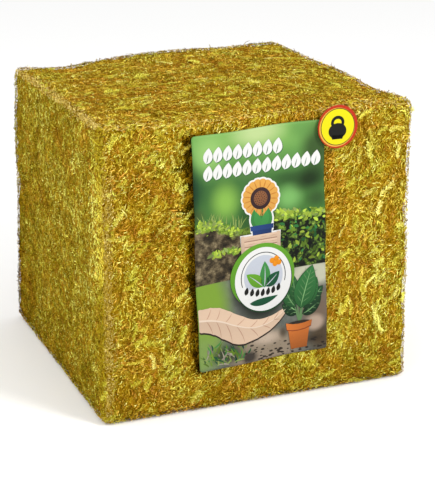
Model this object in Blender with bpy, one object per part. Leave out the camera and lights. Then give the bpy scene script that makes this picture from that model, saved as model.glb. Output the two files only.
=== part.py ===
"""A pressed block of dried moss with a card label and a round sticker on its front face.

Metres, +Z up. The block stands on its flat base at z = 0 and its front face looks along -Y.
"""

import math

import bmesh
import bpy
from mathutils import Matrix, Vector, noise

WIDTH = 0.280
DEPTH = 0.280
HEIGHT = 0.260
EDGE_BEVEL = 0.007
EDGE_SEGMENTS = 2
CELLS = 12

# How far each corner of the block stands off a true cuboid: (side x, side y, side z, offset).
CORNER_SHIFTS = (
    (-1, 1, 1, (-0.0002, 0.0000, -0.0010)),
    (1, 1, 1, (-0.0020, 0.0020, 0.0056)),
    (1, -1, 1, (0.0036, 0.0000, -0.0005)),
    (-1, -1, 1, (0.0010, 0.0000, 0.0010)),
    (-1, 1, 0, (-0.0078, 0.0010, 0.0)),
    (1, 1, 0, (0.0030, 0.0000, 0.0)),
    (1, -1, 0, (0.0096, 0.0000, 0.0)),
    (-1, -1, 0, (-0.0010, 0.0000, 0.0)),
)

# Soft dents and swellings of the top: (x, y, radius, height).
TOP_DENTS = (
    (-0.090, 0.135, 0.040, -0.0045),
    (0.018, 0.135, 0.030, 0.0018),
    (0.132, -0.075, 0.034, -0.0026),
    (0.132, 0.035, 0.030, -0.0010),
    (-0.050, -0.138, 0.055, -0.0022),
    (0.095, -0.138, 0.034, 0.0018),
)

# Slow swellings of the sides and top.
LUMP_HEIGHT = 0.0016
LUMP_SCALE = 13.0
LUMP_OFFSET = Vector((3.7, 1.9, 5.2))
LABEL_CLEAR = 0.026

GAP = 0.0003

LABEL_WIDTH = 0.1190
LABEL_HEIGHT = 0.2080
LABEL_THICKNESS = 0.0007
LABEL_CENTRE = (0.0020, 0.1440)
LABEL_TURN = math.radians(2.57)
LABEL_CORNER = 0.0025
LABEL_COLUMNS = 12
LABEL_ROWS = 16
LABEL_BOW = 0.0022
LABEL_WAVE = 0.0007

STICKER_RADIUS = 0.0185
STICKER_THICKNESS = 0.0012
STICKER_CENTRE = (0.0692, 0.2432)
STICKER_SIDES = 56
STICKER_RIM = 0.0004
STICKER_LEAN = math.radians(1.0)


def clear_scene():
    for obj in list(bpy.data.objects):
        bpy.data.objects.remove(obj, do_unlink=True)


def new_material(name, colour, roughness):
    material = bpy.data.materials.new(name)
    material.use_nodes = True
    shader = material.node_tree.nodes["Principled BSDF"]
    shader.inputs["Base Color"].default_value = (*colour, 1.0)
    shader.inputs["Roughness"].default_value = roughness
    shader.inputs["Metallic"].default_value = 0.0
    material.diffuse_color = (*colour, 1.0)
    return material


def new_object(name, bm, material, collection):
    bmesh.ops.recalc_face_normals(bm, faces=bm.faces)
    mesh = bpy.data.meshes.new(name)
    bm.to_mesh(mesh)
    bm.free()
    mesh.materials.append(material)
    for polygon in mesh.polygons:
        polygon.use_smooth = True
    obj = bpy.data.objects.new(name, mesh)
    collection.objects.link(obj)
    return obj


def smooth_step(low, high, value):
    t = min(1.0, max(0.0, (value - low) / (high - low)))
    return t * t * (3.0 - 2.0 * t)


def corner_offset(co):
    """Blends the corner shifts over the block."""
    u = co.x / WIDTH + 0.5
    v = co.y / DEPTH + 0.5
    w = co.z / HEIGHT
    total = Vector((0.0, 0.0, 0.0))
    for sx, sy, sz, shift in CORNER_SHIFTS:
        share = u if sx > 0 else 1.0 - u
        share *= v if sy > 0 else 1.0 - v
        share *= w if sz > 0 else 1.0 - w
        total += share * Vector(shift)
    return total


def top_offset(co):
    """Height of the dents, fading down the sides."""
    height = 0.0
    for x, y, radius, depth in TOP_DENTS:
        gap = math.hypot(co.x - x, co.y - y) / radius
        height += depth * math.exp(-gap * gap)
    return height * smooth_step(0.72, 1.0, co.z / HEIGHT)


def behind_label(co):
    """Goes from 0 behind the label or the sticker to 1 away from them."""
    x = abs(co.x - LABEL_CENTRE[0]) - LABEL_WIDTH / 2 - 0.008
    z = abs(co.z - LABEL_CENTRE[1]) - LABEL_HEIGHT / 2 - 0.004
    outside = math.hypot(max(x, 0.0), max(z, 0.0))
    spot = math.hypot(co.x - STICKER_CENTRE[0], co.z - STICKER_CENTRE[1]) - STICKER_RADIUS - 0.004
    return smooth_step(0.0, LABEL_CLEAR, min(outside, max(spot, 0.0)))


def build_block(collection):
    bm = bmesh.new()
    size = Matrix.Diagonal((WIDTH, DEPTH, HEIGHT, 1.0))
    bmesh.ops.create_cube(bm, size=1.0, matrix=Matrix.Translation((0.0, 0.0, HEIGHT / 2)) @ size)
    bmesh.ops.bevel(
        bm,
        geom=bm.edges[:],
        affect="EDGES",
        offset=EDGE_BEVEL,
        segments=EDGE_SEGMENTS,
        profile=0.5,
        material=-1,
    )
    extents = ((0, WIDTH, -WIDTH / 2), (1, DEPTH, -DEPTH / 2), (2, HEIGHT, 0.0))
    for axis, length, start in extents:
        for step in range(1, CELLS):
            at = Vector((0.0, 0.0, 0.0))
            at[axis] = start + EDGE_BEVEL + (length - 2 * EDGE_BEVEL) * step / CELLS
            way = Vector((0.0, 0.0, 0.0))
            way[axis] = 1.0
            geom = bm.verts[:] + bm.edges[:] + bm.faces[:]
            bmesh.ops.bisect_plane(bm, geom=geom, plane_co=at, plane_no=way, dist=1e-6)
    bmesh.ops.remove_doubles(bm, verts=bm.verts, dist=1e-6)
    bm.normal_update()
    moves = {}
    for vert in bm.verts:
        co = vert.co.copy()
        lump = noise.fractal(co * LUMP_SCALE + LUMP_OFFSET, 0.8, 2.1, 3)
        lump *= LUMP_HEIGHT * smooth_step(0.0, 0.12, co.z / HEIGHT)
        if co.y < -DEPTH / 2 + EDGE_BEVEL:
            lump *= behind_label(co)
        move = corner_offset(co) + vert.normal * lump
        move.z += top_offset(co)
        if co.z < 1e-5:
            move.z = 0.0
        moves[vert] = move
    for vert, move in moves.items():
        vert.co += move
    moss = new_material("moss_block", (0.430, 0.285, 0.028), 0.92)
    return new_object("moss_block", bm, moss, collection)


def build_label(collection):
    """A thin card, bowed so that its side edges stand a little off the moss."""
    bm = bmesh.new()
    bmesh.ops.create_grid(bm, x_segments=LABEL_COLUMNS, y_segments=LABEL_ROWS, size=0.5)
    half_w = LABEL_WIDTH / 2
    half_h = LABEL_HEIGHT / 2
    turn = Matrix.Rotation(LABEL_TURN, 3, "Y").inverted()
    for vert in bm.verts:
        u = vert.co.x * LABEL_WIDTH
        v = vert.co.y * LABEL_HEIGHT
        if half_w - abs(u) < 1e-6 and half_h - abs(v) < 1e-6:
            u -= math.copysign(LABEL_CORNER * 0.3, u)
            v -= math.copysign(LABEL_CORNER * 0.3, v)
        side = u / half_w
        rise = LABEL_BOW * (max(0.0, -side) ** 3 + 0.45 * max(0.0, side) ** 3)
        rise += LABEL_WAVE * side * side * (0.5 + 0.5 * math.sin(v * 46.0 + 1.2))
        flat = turn @ Vector((u, 0.0, v))
        vert.co = (
            flat.x + LABEL_CENTRE[0],
            -DEPTH / 2 - GAP - rise,
            flat.z + LABEL_CENTRE[1],
        )
    bmesh.ops.recalc_face_normals(bm, faces=bm.faces)
    for face in bm.faces:
        if face.normal.y > 0.0:
            face.normal_flip()
    skin = bmesh.ops.extrude_face_region(bm, geom=bm.faces[:])["geom"]
    for item in skin:
        if isinstance(item, bmesh.types.BMVert):
            item.co.y -= LABEL_THICKNESS
    card = new_material("label_card", (0.180, 0.330, 0.120), 0.30)
    return new_object("label_card", bm, card, collection)


def build_sticker(collection):
    bm = bmesh.new()
    bmesh.ops.create_cone(
        bm,
        cap_ends=True,
        segments=STICKER_SIDES,
        radius1=STICKER_RADIUS,
        radius2=STICKER_RADIUS,
        depth=STICKER_THICKNESS,
        matrix=Matrix.Rotation(math.radians(90.0), 4, "X"),
    )
    front = [e for e in bm.edges if all(v.co.y < 0.0 for v in e.verts)]
    bmesh.ops.bevel(
        bm,
        geom=front,
        affect="EDGES",
        offset=STICKER_RIM,
        segments=2,
        profile=0.5,
        material=-1,
    )
    lean = Matrix.Rotation(STICKER_LEAN, 4, "Z")
    back = -DEPTH / 2 - LABEL_BOW - LABEL_WAVE - LABEL_THICKNESS - GAP
    place = Matrix.Translation((STICKER_CENTRE[0], back - STICKER_THICKNESS / 2, STICKER_CENTRE[1]))
    bmesh.ops.transform(bm, matrix=place @ lean, verts=bm.verts)
    paper = new_material("round_sticker", (0.800, 0.520, 0.020), 0.35)
    return new_object("round_sticker", bm, paper, collection)


def centre_on_axis(objects):
    """Moves all pieces together so that their common box is centred over the origin."""
    points = [v.co for obj in objects for v in obj.data.vertices]
    mid_x = (min(p.x for p in points) + max(p.x for p in points)) / 2
    mid_y = (min(p.y for p in points) + max(p.y for p in points)) / 2
    for obj in objects:
        obj.data.transform(Matrix.Translation((-mid_x, -mid_y, 0.0)))


def main():
    clear_scene()
    collection = bpy.data.collections.new("compressed_moss_block")
    bpy.context.scene.collection.children.link(collection)
    pieces = [
        build_block(collection),
        build_label(collection),
        build_sticker(collection),
    ]
    centre_on_axis(pieces)


main()
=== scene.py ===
"""A pressed block of dried moss, with its card label and round sticker, on a pale floor.

Metres, +Z up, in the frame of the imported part. The block's labelled front looks along -Y.
"""

import math

import bmesh
import bpy
import numpy as np
from mathutils import Matrix, Vector
from mathutils.bvhtree import BVHTree


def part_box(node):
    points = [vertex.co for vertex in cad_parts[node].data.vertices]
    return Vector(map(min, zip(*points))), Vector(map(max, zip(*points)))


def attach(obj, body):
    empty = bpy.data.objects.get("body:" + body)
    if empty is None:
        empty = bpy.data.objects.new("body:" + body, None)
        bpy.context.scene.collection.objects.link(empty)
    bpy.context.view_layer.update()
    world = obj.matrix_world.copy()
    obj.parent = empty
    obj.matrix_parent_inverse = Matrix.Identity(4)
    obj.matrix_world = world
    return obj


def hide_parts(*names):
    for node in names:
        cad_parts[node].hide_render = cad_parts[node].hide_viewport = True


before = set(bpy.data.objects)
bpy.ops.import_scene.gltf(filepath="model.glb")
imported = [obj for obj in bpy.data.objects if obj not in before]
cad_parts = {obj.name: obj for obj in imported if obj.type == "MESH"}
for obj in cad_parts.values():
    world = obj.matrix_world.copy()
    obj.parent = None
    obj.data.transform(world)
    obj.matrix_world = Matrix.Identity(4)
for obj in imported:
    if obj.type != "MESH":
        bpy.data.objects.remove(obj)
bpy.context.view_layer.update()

# ---------------------------------------------------------------- places and sizes of the part

block_low, block_high = (Vector(corner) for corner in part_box("moss_block"))
label_low, label_high = (Vector(corner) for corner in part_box("label_card"))
sticker_low, sticker_high = (Vector(corner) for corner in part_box("round_sticker"))

LABEL_WIDTH = 0.1190
LABEL_HEIGHT = 0.2080
LABEL_TURN = math.radians(2.57)
LABEL_CENTRE = (label_low + label_high) / 2
STICKER_CENTRE = (sticker_low + sticker_high) / 2
STICKER_RADIUS = (sticker_high.z - sticker_low.z) / 2
STICKER_THICKNESS = 0.0012
STICKER_RIM = 0.0004
STICKER_STEPS = 112
STICKER_LEAN = math.radians(1.0)

# ---------------------------------------------------------------- the moss in numbers

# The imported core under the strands: its cells, how deep it lies and how rough it is.
CORE_VOXEL = 0.0038
CORE_SINK = 0.0022
CORE_ROUGH = 0.0009

# Strands for each square metre of a side of density 1.
FIBRES_PER_AREA = 110000
PLUMES_PER_AREA = 105000
CRUMBS_PER_AREA = 120000
FRONDS_PER_AREA = 2000

# Strands laid along all the rims, and curls that stand off the rims of the top.
RIM_FIBRES = 10000
LOOSE_CURLS = 46

# Plumes and fronds, in the millimetres that their patterns are drawn in: length, half spread,
# half width of a stem at its foot, and half width of a leaflet's foot.
PLUME_LENGTH = 6.0
PLUME_HALF = 1.2
PLUME_STEM = 0.16
FROND_LENGTH = 16.0
LEAFLET_BASE = 0.30

# How much the leaflets of a pattern differ in light.
LEAFLET_SPREAD = 0.60

# How many swells make up a field of smooth random values.
SWELLS = 22

# Most that a strand's tip may usually stand out of the block's skin.
FUZZ = 0.0006

# Tones along the palette: 0 is deep brown, a third rusty, a half golden, three quarters green,
# nine tenths pale straw and 1 worn tan.
TONE_LOW = 0.03
TONE_HIGH = 0.90
RUSTY_TONES = (0.20, 0.34)
PALE_TONES = (0.76, 0.90)
BLOTCH_TONES = (0.76, 0.84)
HIGHLIGHT_TONES = (0.52, 0.68)
FROND_TONES = (0.62, 0.88)
WORN_TONES = (0.940, 0.985)
PALEST_ON_LEFT = 0.83

LIGHT_LOW = 0.02
LIGHT_HIGH = 0.98

# Strands of the rims and the loose bits: tone, and grain of their tufts and of their ways.
RIM_TONE = 0.50
RIM_GRAIN = (1.0, 0.3, 0.5)
LOOSE_GRAIN = (1.0, 1.0, 0.1)

# Share of the strands that lie in deep shade, and the light they keep.
SHADED_SHARE = 0.26
SHADE_LIGHT = 0.42

# Heights over the floor: where the painted shade at the block's foot ends, and where the painted
# highlight along the front left edge comes in and fades out.
FOOT_SHADE_HEIGHT = 0.060
HIGHLIGHT_STARTS = (0.105, 0.155)
HIGHLIGHT_FADES_ABOVE = (0.195, 0.228)

# How far strips reach in: on the left side the yellow painted highlight from its front edge, the
# browner strip and the painted shade from its back edge, and on the front the painted shadow from
# the card's left edge. Each fades between its two numbers.
HIGHLIGHT_STRIP = (0.016, 0.034)
BROWN_STRIP = (0.008, 0.024)
BACK_SHADE_STRIP = (0.015, 0.120)
CARD_PAINTED_SHADOW = (0.0038, 0.0105)

# Each side: name, outward way, grain, how far the grain wanders, spread, density, tone, light,
# how uneven its light is, and its longest fibre.
# The left side's lower light is painted shade on that side.
SIDES = (
    ("front", (0, -1, 0), (0.62, 0.0, 0.78), 0.42, 0.55, 1.58, 0.530, 0.54, 0.40, 0.0072),
    ("left", (-1, 0, 0), (0.0, 0.08, 1.0), 0.30, 0.80, 1.15, 0.640, 0.46, 0.32, 0.0090),
    ("top", (0, 0, 1), (1.0, -0.10, 0.0), 0.75, 0.70, 1.05, 0.535, 0.56, 0.33, 0.0105),
    ("right", (1, 0, 0), (0.0, 0.45, 0.89), 0.55, 0.70, 0.65, 0.520, 0.54, 0.40, 0.0072),
    ("back", (0, 1, 0), (-0.50, 0.0, 0.86), 0.60, 0.70, 0.65, 0.520, 0.54, 0.40, 0.0072),
    ("base", (0, 0, -1), (1.0, 0.2, 0.0), 0.60, 0.80, 0.10, 0.450, 0.45, 0.40, 0.0072),
)
SIDE_NAMES = [side[0] for side in SIDES]
SIDES_WITH_FRONDS = ("front", "top", "right", "back")
OUTWARD = np.array([side[1] for side in SIDES], float)


# ---------------------------------------------------------------- small tools


def link(obj):
    bpy.context.scene.collection.objects.link(obj)
    return obj


def unit(rows):
    return rows / np.linalg.norm(rows, axis=-1, keepdims=True)


def turned(ways, normals, angle):
    """Ways along the skin, turned about its normals by an angle each."""
    across = np.cross(normals, ways)
    return np.cos(angle)[:, None] * ways + np.sin(angle)[:, None] * across


def along_skin(ways, normals):
    """Ways laid flat on the skin."""
    return unit(ways - (ways * normals).sum(axis=1, keepdims=True) * normals)


def wave_field(points, size, seed):
    """Smooth random values about 0 with a spread of 1, in swells about `size` metres long."""
    rng = np.random.default_rng(seed)
    ways = unit(rng.normal(size=(SWELLS, 3)))
    pitch = 2 * np.pi / (size * rng.uniform(0.8, 1.8, SWELLS))
    phase = rng.uniform(0, 2 * np.pi, SWELLS)
    swells = np.sin(points @ (ways * pitch[:, None]).T + phase)
    return swells.sum(axis=1) * math.sqrt(2.0 / SWELLS)


def smooth_step(low, high, value):
    t = np.clip((value - low) / (high - low), 0.0, 1.0)
    return t * t * (3.0 - 2.0 * t)


def label_coords(x, z):
    """Place on the label's plane, from its centre: along its width, and up its height."""
    dx = x - LABEL_CENTRE.x
    dz = z - LABEL_CENTRE.z
    across = dx * math.cos(LABEL_TURN) + dz * math.sin(LABEL_TURN)
    up = -dx * math.sin(LABEL_TURN) + dz * math.cos(LABEL_TURN)
    return across, up


# ---------------------------------------------------------------- the block's skin


def merged_copy(node):
    """The CAD node's mesh with its loose triangles joined, as a bmesh."""
    bm = bmesh.new()
    bm.from_mesh(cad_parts[node].data)
    bmesh.ops.remove_doubles(bm, verts=bm.verts, dist=1e-6)
    bm.normal_update()
    return bm


def read_skin():
    """The block's triangles: corners, smooth normals, areas, the side of each, and a search tree."""
    bm = merged_copy("moss_block")
    bmesh.ops.triangulate(bm, faces=bm.faces)
    bm.normal_update()
    flat = np.array([f.normal[:] for f in bm.faces])
    skin = {
        "corners": np.array([[v.co[:] for v in f.verts] for f in bm.faces]),
        "normals": np.array([[v.normal[:] for v in f.verts] for f in bm.faces]),
        "areas": np.array([f.calc_area() for f in bm.faces]),
        "side": np.argmax(flat @ OUTWARD.T, axis=1),
        "rim": np.abs(flat).max(axis=1) < 0.93,
        "tree": BVHTree.FromBMesh(bm),
    }
    bm.free()
    return skin


def scatter_on_skin(skin, count, rng, chosen):
    """Random roots over the chosen triangles: places and smooth normals."""
    share = np.where(chosen, skin["areas"], 0.0)
    picks = rng.choice(len(share), size=count, p=share / share.sum())
    mix = rng.dirichlet((1.0, 1.0, 1.0), count)[:, :, None]
    roots = (skin["corners"][picks] * mix).sum(axis=1)
    return roots, unit((skin["normals"][picks] * mix).sum(axis=1))


def height_over_skin(skin, points):
    """How far each point stands out of the block, negative inside it."""
    heights = np.empty(len(points))
    for i, point in enumerate(points.tolist()):
        near, normal, _, _ = skin["tree"].find_nearest(point)
        heights[i] = (Vector(point) - near).dot(normal)
    return heights


def turn_inwards(skin, roots, ways, length, rng):
    """Turns round, then shortens, the strands whose tips would hang over the block's rims."""
    allowed = FUZZ * (0.4 + rng.exponential(0.7, len(roots)))
    for attempt in range(3):
        over = height_over_skin(skin, roots + ways * length[:, None]) > allowed
        if attempt == 0:
            ways[over] *= -1.0
        else:
            length[over] *= 0.5


# ---------------------------------------------------------------- strand patterns


def pattern_from(bm):
    """Arrays of a pattern: x runs from 0 to 1 along it, y from -1 to 1 across it, and each
    point has a share of light and a shift of tone."""
    glow = bm.verts.layers.float["glow"]
    shift = bm.verts.layers.float["shift"]
    bmesh.ops.triangulate(bm, faces=bm.faces)
    bm.verts.index_update()
    pattern = {
        "places": np.array([v.co[:] for v in bm.verts]),
        "triangles": np.array([[v.index for v in f.verts] for f in bm.faces]),
        "glow": np.array([v[glow] for v in bm.verts]),
        "shift": np.array([v[shift] for v in bm.verts]),
    }
    bm.free()
    return pattern


def new_pattern():
    bm = bmesh.new()
    bm.verts.layers.float.new("glow")
    bm.verts.layers.float.new("shift")
    return bm


def fibre_pattern(segments, root, tip):
    """A narrow blade, root and tip giving its width at its ends."""
    bm = new_pattern()
    glow = bm.verts.layers.float["glow"]
    bmesh.ops.create_grid(bm, x_segments=segments, y_segments=1, size=0.5)
    for vert in bm.verts:
        along = vert.co.x + 0.5
        swell = math.sin(math.pi * min(1.0, along * 0.9 + 0.12)) ** 0.6
        ends = root + (tip - root) * along
        vert.co = (along, vert.co.y * 2.0 * (ends + (1.0 - ends) * swell), 0.0)
        vert[glow] = 0.62 + 0.42 * along
    return pattern_from(bm)


def add_leaflet(bm, foot, turn, reach, half_base, rise, light, tone_shift):
    """One pointed leaflet from its foot on the stem, in millimetres."""
    glow = bm.verts.layers.float["glow"]
    shift = bm.verts.layers.float["shift"]
    corners = bmesh.ops.create_circle(bm, segments=3, radius=1.0, cap_ends=True)["verts"]
    ahead = Vector((math.cos(turn), math.sin(turn), rise))
    aside = Vector((-math.sin(turn), math.cos(turn), 0.0)) * half_base
    foot = Vector(foot)
    corners[0].co = foot - aside
    corners[1].co = foot + aside
    corners[2].co = foot + ahead * reach
    for vert, share in zip(corners, (0.70, 0.70, 1.15), strict=True):
        vert[glow] = light * share
        vert[shift] = tone_shift


def leaflet_light(rng):
    """Share of light of one leaflet."""
    return float(np.clip(np.exp(rng.normal(-0.05, LEAFLET_SPREAD)), 0.25, 2.1))


def plume_pattern(leaves, lean, reach, seed):
    """A stem with pointed leaflets on both sides that lean towards its tip."""
    rng = np.random.default_rng(seed)
    bm = new_pattern()
    glow = bm.verts.layers.float["glow"]
    bmesh.ops.create_grid(bm, x_segments=1, y_segments=1, size=0.5)
    for vert in bm.verts:
        along = vert.co.x + 0.5
        vert.co = (along * PLUME_LENGTH, vert.co.y * 2.0 * PLUME_STEM * (1.0 - 0.8 * along), 0.0)
        vert[glow] = 0.8
    for step in range(leaves):
        at = (step + rng.uniform(0.1, 0.9)) / leaves
        side = 1 if step % 2 else -1
        foot = (at * (PLUME_LENGTH - 0.6 * reach), side * 0.10, 0.0)
        turn = side * max(0.05, rng.normal(lean, 0.20))
        length = reach * rng.uniform(0.65, 1.25) * (1.0 - 0.35 * at)
        light = leaflet_light(rng)
        rise = rng.uniform(-0.10, 0.28)
        add_leaflet(bm, foot, turn, length, LEAFLET_BASE, rise, light, rng.normal(0.0, 0.02))
    bmesh.ops.scale(bm, vec=(1 / PLUME_LENGTH, 1 / PLUME_HALF, 1 / PLUME_HALF), verts=bm.verts)
    return pattern_from(bm)


def crumb_pattern(leaves, seed):
    """A broken bit of moss: a few leaflets that point all ways from one spot."""
    rng = np.random.default_rng(seed)
    bm = new_pattern()
    for step in range(leaves):
        turn = 2 * math.pi * (step + rng.uniform(0.0, 0.8)) / leaves
        light = leaflet_light(rng)
        rise = rng.uniform(0.0, 0.5)
        reach = rng.uniform(0.7, 1.3)
        tone_shift = rng.normal(0.0, 0.02)
        add_leaflet(bm, (0.8, 0.0, 0.0), turn, reach, LEAFLET_BASE, rise, light, tone_shift)
    bmesh.ops.scale(bm, vec=(1 / 1.6, 1.0, 1.0), verts=bm.verts)
    return pattern_from(bm)


def frond_pattern(branches, lean, reach, seed):
    """A feathered frond: a stem with leafy branches on both sides, shorter towards its tip."""
    rng = np.random.default_rng(seed)
    bm = new_pattern()
    glow = bm.verts.layers.float["glow"]
    bmesh.ops.create_grid(bm, x_segments=4, y_segments=1, size=0.5)
    for vert in bm.verts:
        along = vert.co.x + 0.5
        vert.co = (along * FROND_LENGTH, vert.co.y * 0.6 * (1.0 - 0.8 * along), 0.1)
        vert[glow] = 0.9
    for step in range(branches):
        at = (step + rng.uniform(0.2, 0.8)) / branches
        side = 1 if step % 2 else -1
        turn = side * rng.normal(lean, 0.12)
        out = Vector((math.cos(turn), math.sin(turn), 0.0))
        long = reach * rng.uniform(0.7, 1.15) * (1.0 - 0.6 * abs(at - 0.35))
        foot = Vector((at * (FROND_LENGTH - 2.0), 0.0, 0.0))
        light = float(np.exp(rng.normal(0.05, 0.25)))
        add_leaflet(bm, foot, turn, long, LEAFLET_BASE, rng.uniform(0.0, 0.12), light, 0.0)
        for small in range(4):
            place = foot + out * long * (0.15 + 0.22 * small)
            leaf_turn = turn + (1 if small % 2 else -1) * rng.normal(0.7, 0.15)
            leaf_light = light * float(np.exp(rng.normal(0.0, 0.35)))
            add_leaflet(bm, place, leaf_turn, rng.uniform(0.8, 1.3), 0.24, 0.1, leaf_light, 0.0)
    bmesh.ops.scale(bm, vec=(1 / FROND_LENGTH, 1 / reach, 1 / reach), verts=bm.verts)
    return pattern_from(bm)


# ---------------------------------------------------------------- laying strands


def lay(pattern, roots, normals, ways, length, width, sink, arch, lift, curl, roll, tone, light):
    """Bends one copy of the pattern along a curved path at each root.

    sink is how deep the root lies, arch how far the middle stands up, lift how far the tip does,
    curl how far the path turns from root to tip, and roll how far the copy leans over.
    """
    places = pattern["places"]
    along = places[None, :, 0]
    turn = curl[:, None] * along
    safe = np.where(np.abs(curl) < 1e-3, 1e-3, curl)[:, None]
    ahead = length[:, None] * np.sin(safe * along) / safe
    aside = length[:, None] * (1.0 - np.cos(safe * along)) / safe
    height = -sink[:, None] + arch[:, None] * np.sin(np.pi * along) + lift[:, None] * along**2
    across = np.cross(normals, ways)
    side = np.cos(turn)[:, :, None] * across[:, None, :]
    side = side - np.sin(turn)[:, :, None] * ways[:, None, :]
    spin = (roll[:, None] * (0.4 + 0.6 * along))[:, :, None]
    up = normals[:, None, :]
    wide = np.cos(spin) * side + np.sin(spin) * up
    tall = np.cos(spin) * up - np.sin(spin) * side
    points = roots[:, None, :] + ahead[:, :, None] * ways[:, None, :]
    points = points + aside[:, :, None] * across[:, None, :] + height[:, :, None] * up
    points = points + (width[:, None] * places[None, :, 1])[:, :, None] * wide
    points = points + (width[:, None] * places[None, :, 2])[:, :, None] * tall
    u = tone[:, None] + pattern["shift"] + 0.005 * np.clip(places[None, :, 1], -1.0, 1.0)
    v = light[:, None] * pattern["glow"] + 0.004 * places[None, :, 1]
    uv = np.stack((np.clip(u, 0.004, 0.996), np.clip(v, 0.004, 0.996)), axis=2)
    first = (np.arange(len(roots)) * places.shape[0])[:, None, None]
    triangles = pattern["triangles"][None] + first
    return points.reshape(-1, 3), triangles.reshape(-1, 3), uv.reshape(-1, 2)


def joined(batches):
    """Several (points, triangles, uv) sets as one."""
    points, triangles, uvs, first = [], [], [], 0
    for batch_points, batch_triangles, batch_uv in batches:
        points.append(batch_points)
        triangles.append(batch_triangles + first)
        uvs.append(batch_uv)
        first += len(batch_points)
    return np.concatenate(points), np.concatenate(triangles), np.concatenate(uvs)


def keep_behind_label(points):
    """Presses down whatever would come through the card or the sticker."""
    across, up = label_coords(points[:, 0], points[:, 2])
    under = (np.abs(across) < LABEL_WIDTH / 2 + 0.001) & (np.abs(up) < LABEL_HEIGHT / 2 + 0.001)
    round_gap = np.hypot(points[:, 0] - STICKER_CENTRE.x, points[:, 2] - STICKER_CENTRE.z)
    under |= round_gap < STICKER_RADIUS + 0.0005
    rear = label_high.y + 0.0004
    under &= points[:, 1] < rear
    points[under, 1] = rear
    return points


def strand_mesh(name, batches, material):
    points, triangles, uv = joined(batches)
    points = keep_behind_label(points)
    points[:, 2] = np.maximum(points[:, 2], 0.0002)
    mesh = bpy.data.meshes.new(name)
    mesh.vertices.add(len(points))
    mesh.vertices.foreach_set("co", points.astype(np.float32).ravel())
    mesh.loops.add(triangles.size)
    mesh.loops.foreach_set("vertex_index", triangles.astype(np.int32).ravel())
    mesh.polygons.add(len(triangles))
    mesh.polygons.foreach_set("loop_start", np.arange(0, triangles.size, 3, dtype=np.int32))
    mesh.update(calc_edges=True)
    mesh.polygons.foreach_set("use_smooth", np.ones(len(triangles), bool))
    layer = mesh.uv_layers.new(name="OFBake")
    layer.uv.foreach_set("vector", uv[triangles.ravel()].astype(np.float32).ravel())
    mesh.materials.append(material)
    obj = link(bpy.data.objects.new(name, mesh))
    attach(obj, "root")


# ---------------------------------------------------------------- materials


def wire(tree, node, inputs):
    """Fills a node's inputs, by name or number: an output is linked up, and a value is set."""
    for key, value in inputs.items():
        if isinstance(value, bpy.types.NodeSocket):
            tree.links.new(value, node.inputs[key])
        else:
            node.inputs[key].default_value = value


def new_material(name, roughness, specular):
    material = bpy.data.materials.new(name)
    material.use_nodes = True
    shader = material.node_tree.nodes["Principled BSDF"]
    wire(material.node_tree, shader, {"Roughness": roughness, "Specular IOR Level": specular})
    return material, material.node_tree, shader


def add_node(tree, kind, inputs, output=0, **settings):
    """Adds a shader node, fills its inputs, and gives one of its outputs."""
    node = tree.nodes.new("ShaderNode" + kind)
    for key, value in settings.items():
        setattr(node, key, value)
    wire(tree, node, inputs)
    return node.outputs[output]


def colour_ramp(tree, value, stops, blend="LINEAR"):
    """Colours along a value, from (place, colour) stops."""
    colours = tree.nodes.new("ShaderNodeValToRGB")
    ramp = colours.color_ramp
    ramp.interpolation = blend
    ramp.elements.remove(ramp.elements[-1])
    ramp.elements[0].position = stops[0][0]
    ramp.elements[0].color = (*stops[0][1], 1.0)
    for place, colour in stops[1:]:
        ramp.elements.new(place).color = (*colour, 1.0)
    wire(tree, colours, {"Fac": value})
    return colours.outputs["Color"]


def first_two(tree, vector):
    """The first two numbers of a vector."""
    parts = tree.nodes.new("ShaderNodeSeparateXYZ")
    wire(tree, parts, {0: vector})
    return parts.outputs["X"], parts.outputs["Y"]


def own_map(tree):
    return add_node(tree, "UVMap", {}, uv_map="OFBake")


MOSS_PALETTE = (
    (0.00, (0.120, 0.065, 0.005)),
    (0.12, (0.260, 0.116, 0.010)),
    (0.24, (0.480, 0.218, 0.022)),
    (0.36, (0.550, 0.304, 0.030)),
    (0.46, (0.555, 0.366, 0.034)),
    (0.57, (0.570, 0.434, 0.040)),
    (0.68, (0.530, 0.454, 0.045)),
    (0.77, (0.516, 0.478, 0.054)),
    (0.85, (0.630, 0.555, 0.100)),
    (0.91, (0.720, 0.600, 0.165)),
    (0.93, (0.650, 0.475, 0.110)),
    (1.00, (0.650, 0.500, 0.175)),
)

# The core's colours, dark partly as painted shade in the gaps between strands.
CORE_PALETTE = (
    (0.34, (0.080, 0.040, 0.000)),
    (0.46, (0.240, 0.120, 0.001)),
    (0.56, (0.420, 0.250, 0.006)),
    (0.68, (0.620, 0.460, 0.040)),
)

# How light changes a strand's colour, as shares of WASH_SCALE: deep ones are rusty, bright ones pale.
WASH_SCALE = 2.0
STRAND_LIGHT = 2.3
WASH = (
    (0.08, (0.512, 0.412, 0.030)),
    (0.28, (0.504, 0.466, 0.180)),
    (0.50, (0.500, 0.505, 0.480)),
    (0.75, (0.490, 0.540, 0.740)),
    (1.00, (0.480, 0.565, 0.940)),
)


def moss_strand_material():
    """Colour from the strand's own map: tone across it, light up it."""
    material, tree, shader = new_material("dried_moss_strands", 0.85, 0.0)
    tone, light = first_two(tree, own_map(tree))
    colour = colour_ramp(tree, tone, MOSS_PALETTE)
    wash = colour_ramp(tree, light, WASH)
    tinted = add_node(tree, "VectorMath", {0: colour, 1: wash}, operation="MULTIPLY")
    lit = add_node(tree, "MapRange", {"Value": light, "To Max": STRAND_LIGHT * WASH_SCALE})
    shade = add_node(tree, "VectorMath", {0: tinted, "Scale": lit}, operation="SCALE")
    wire(tree, shader, {"Base Color": shade})
    return material


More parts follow.
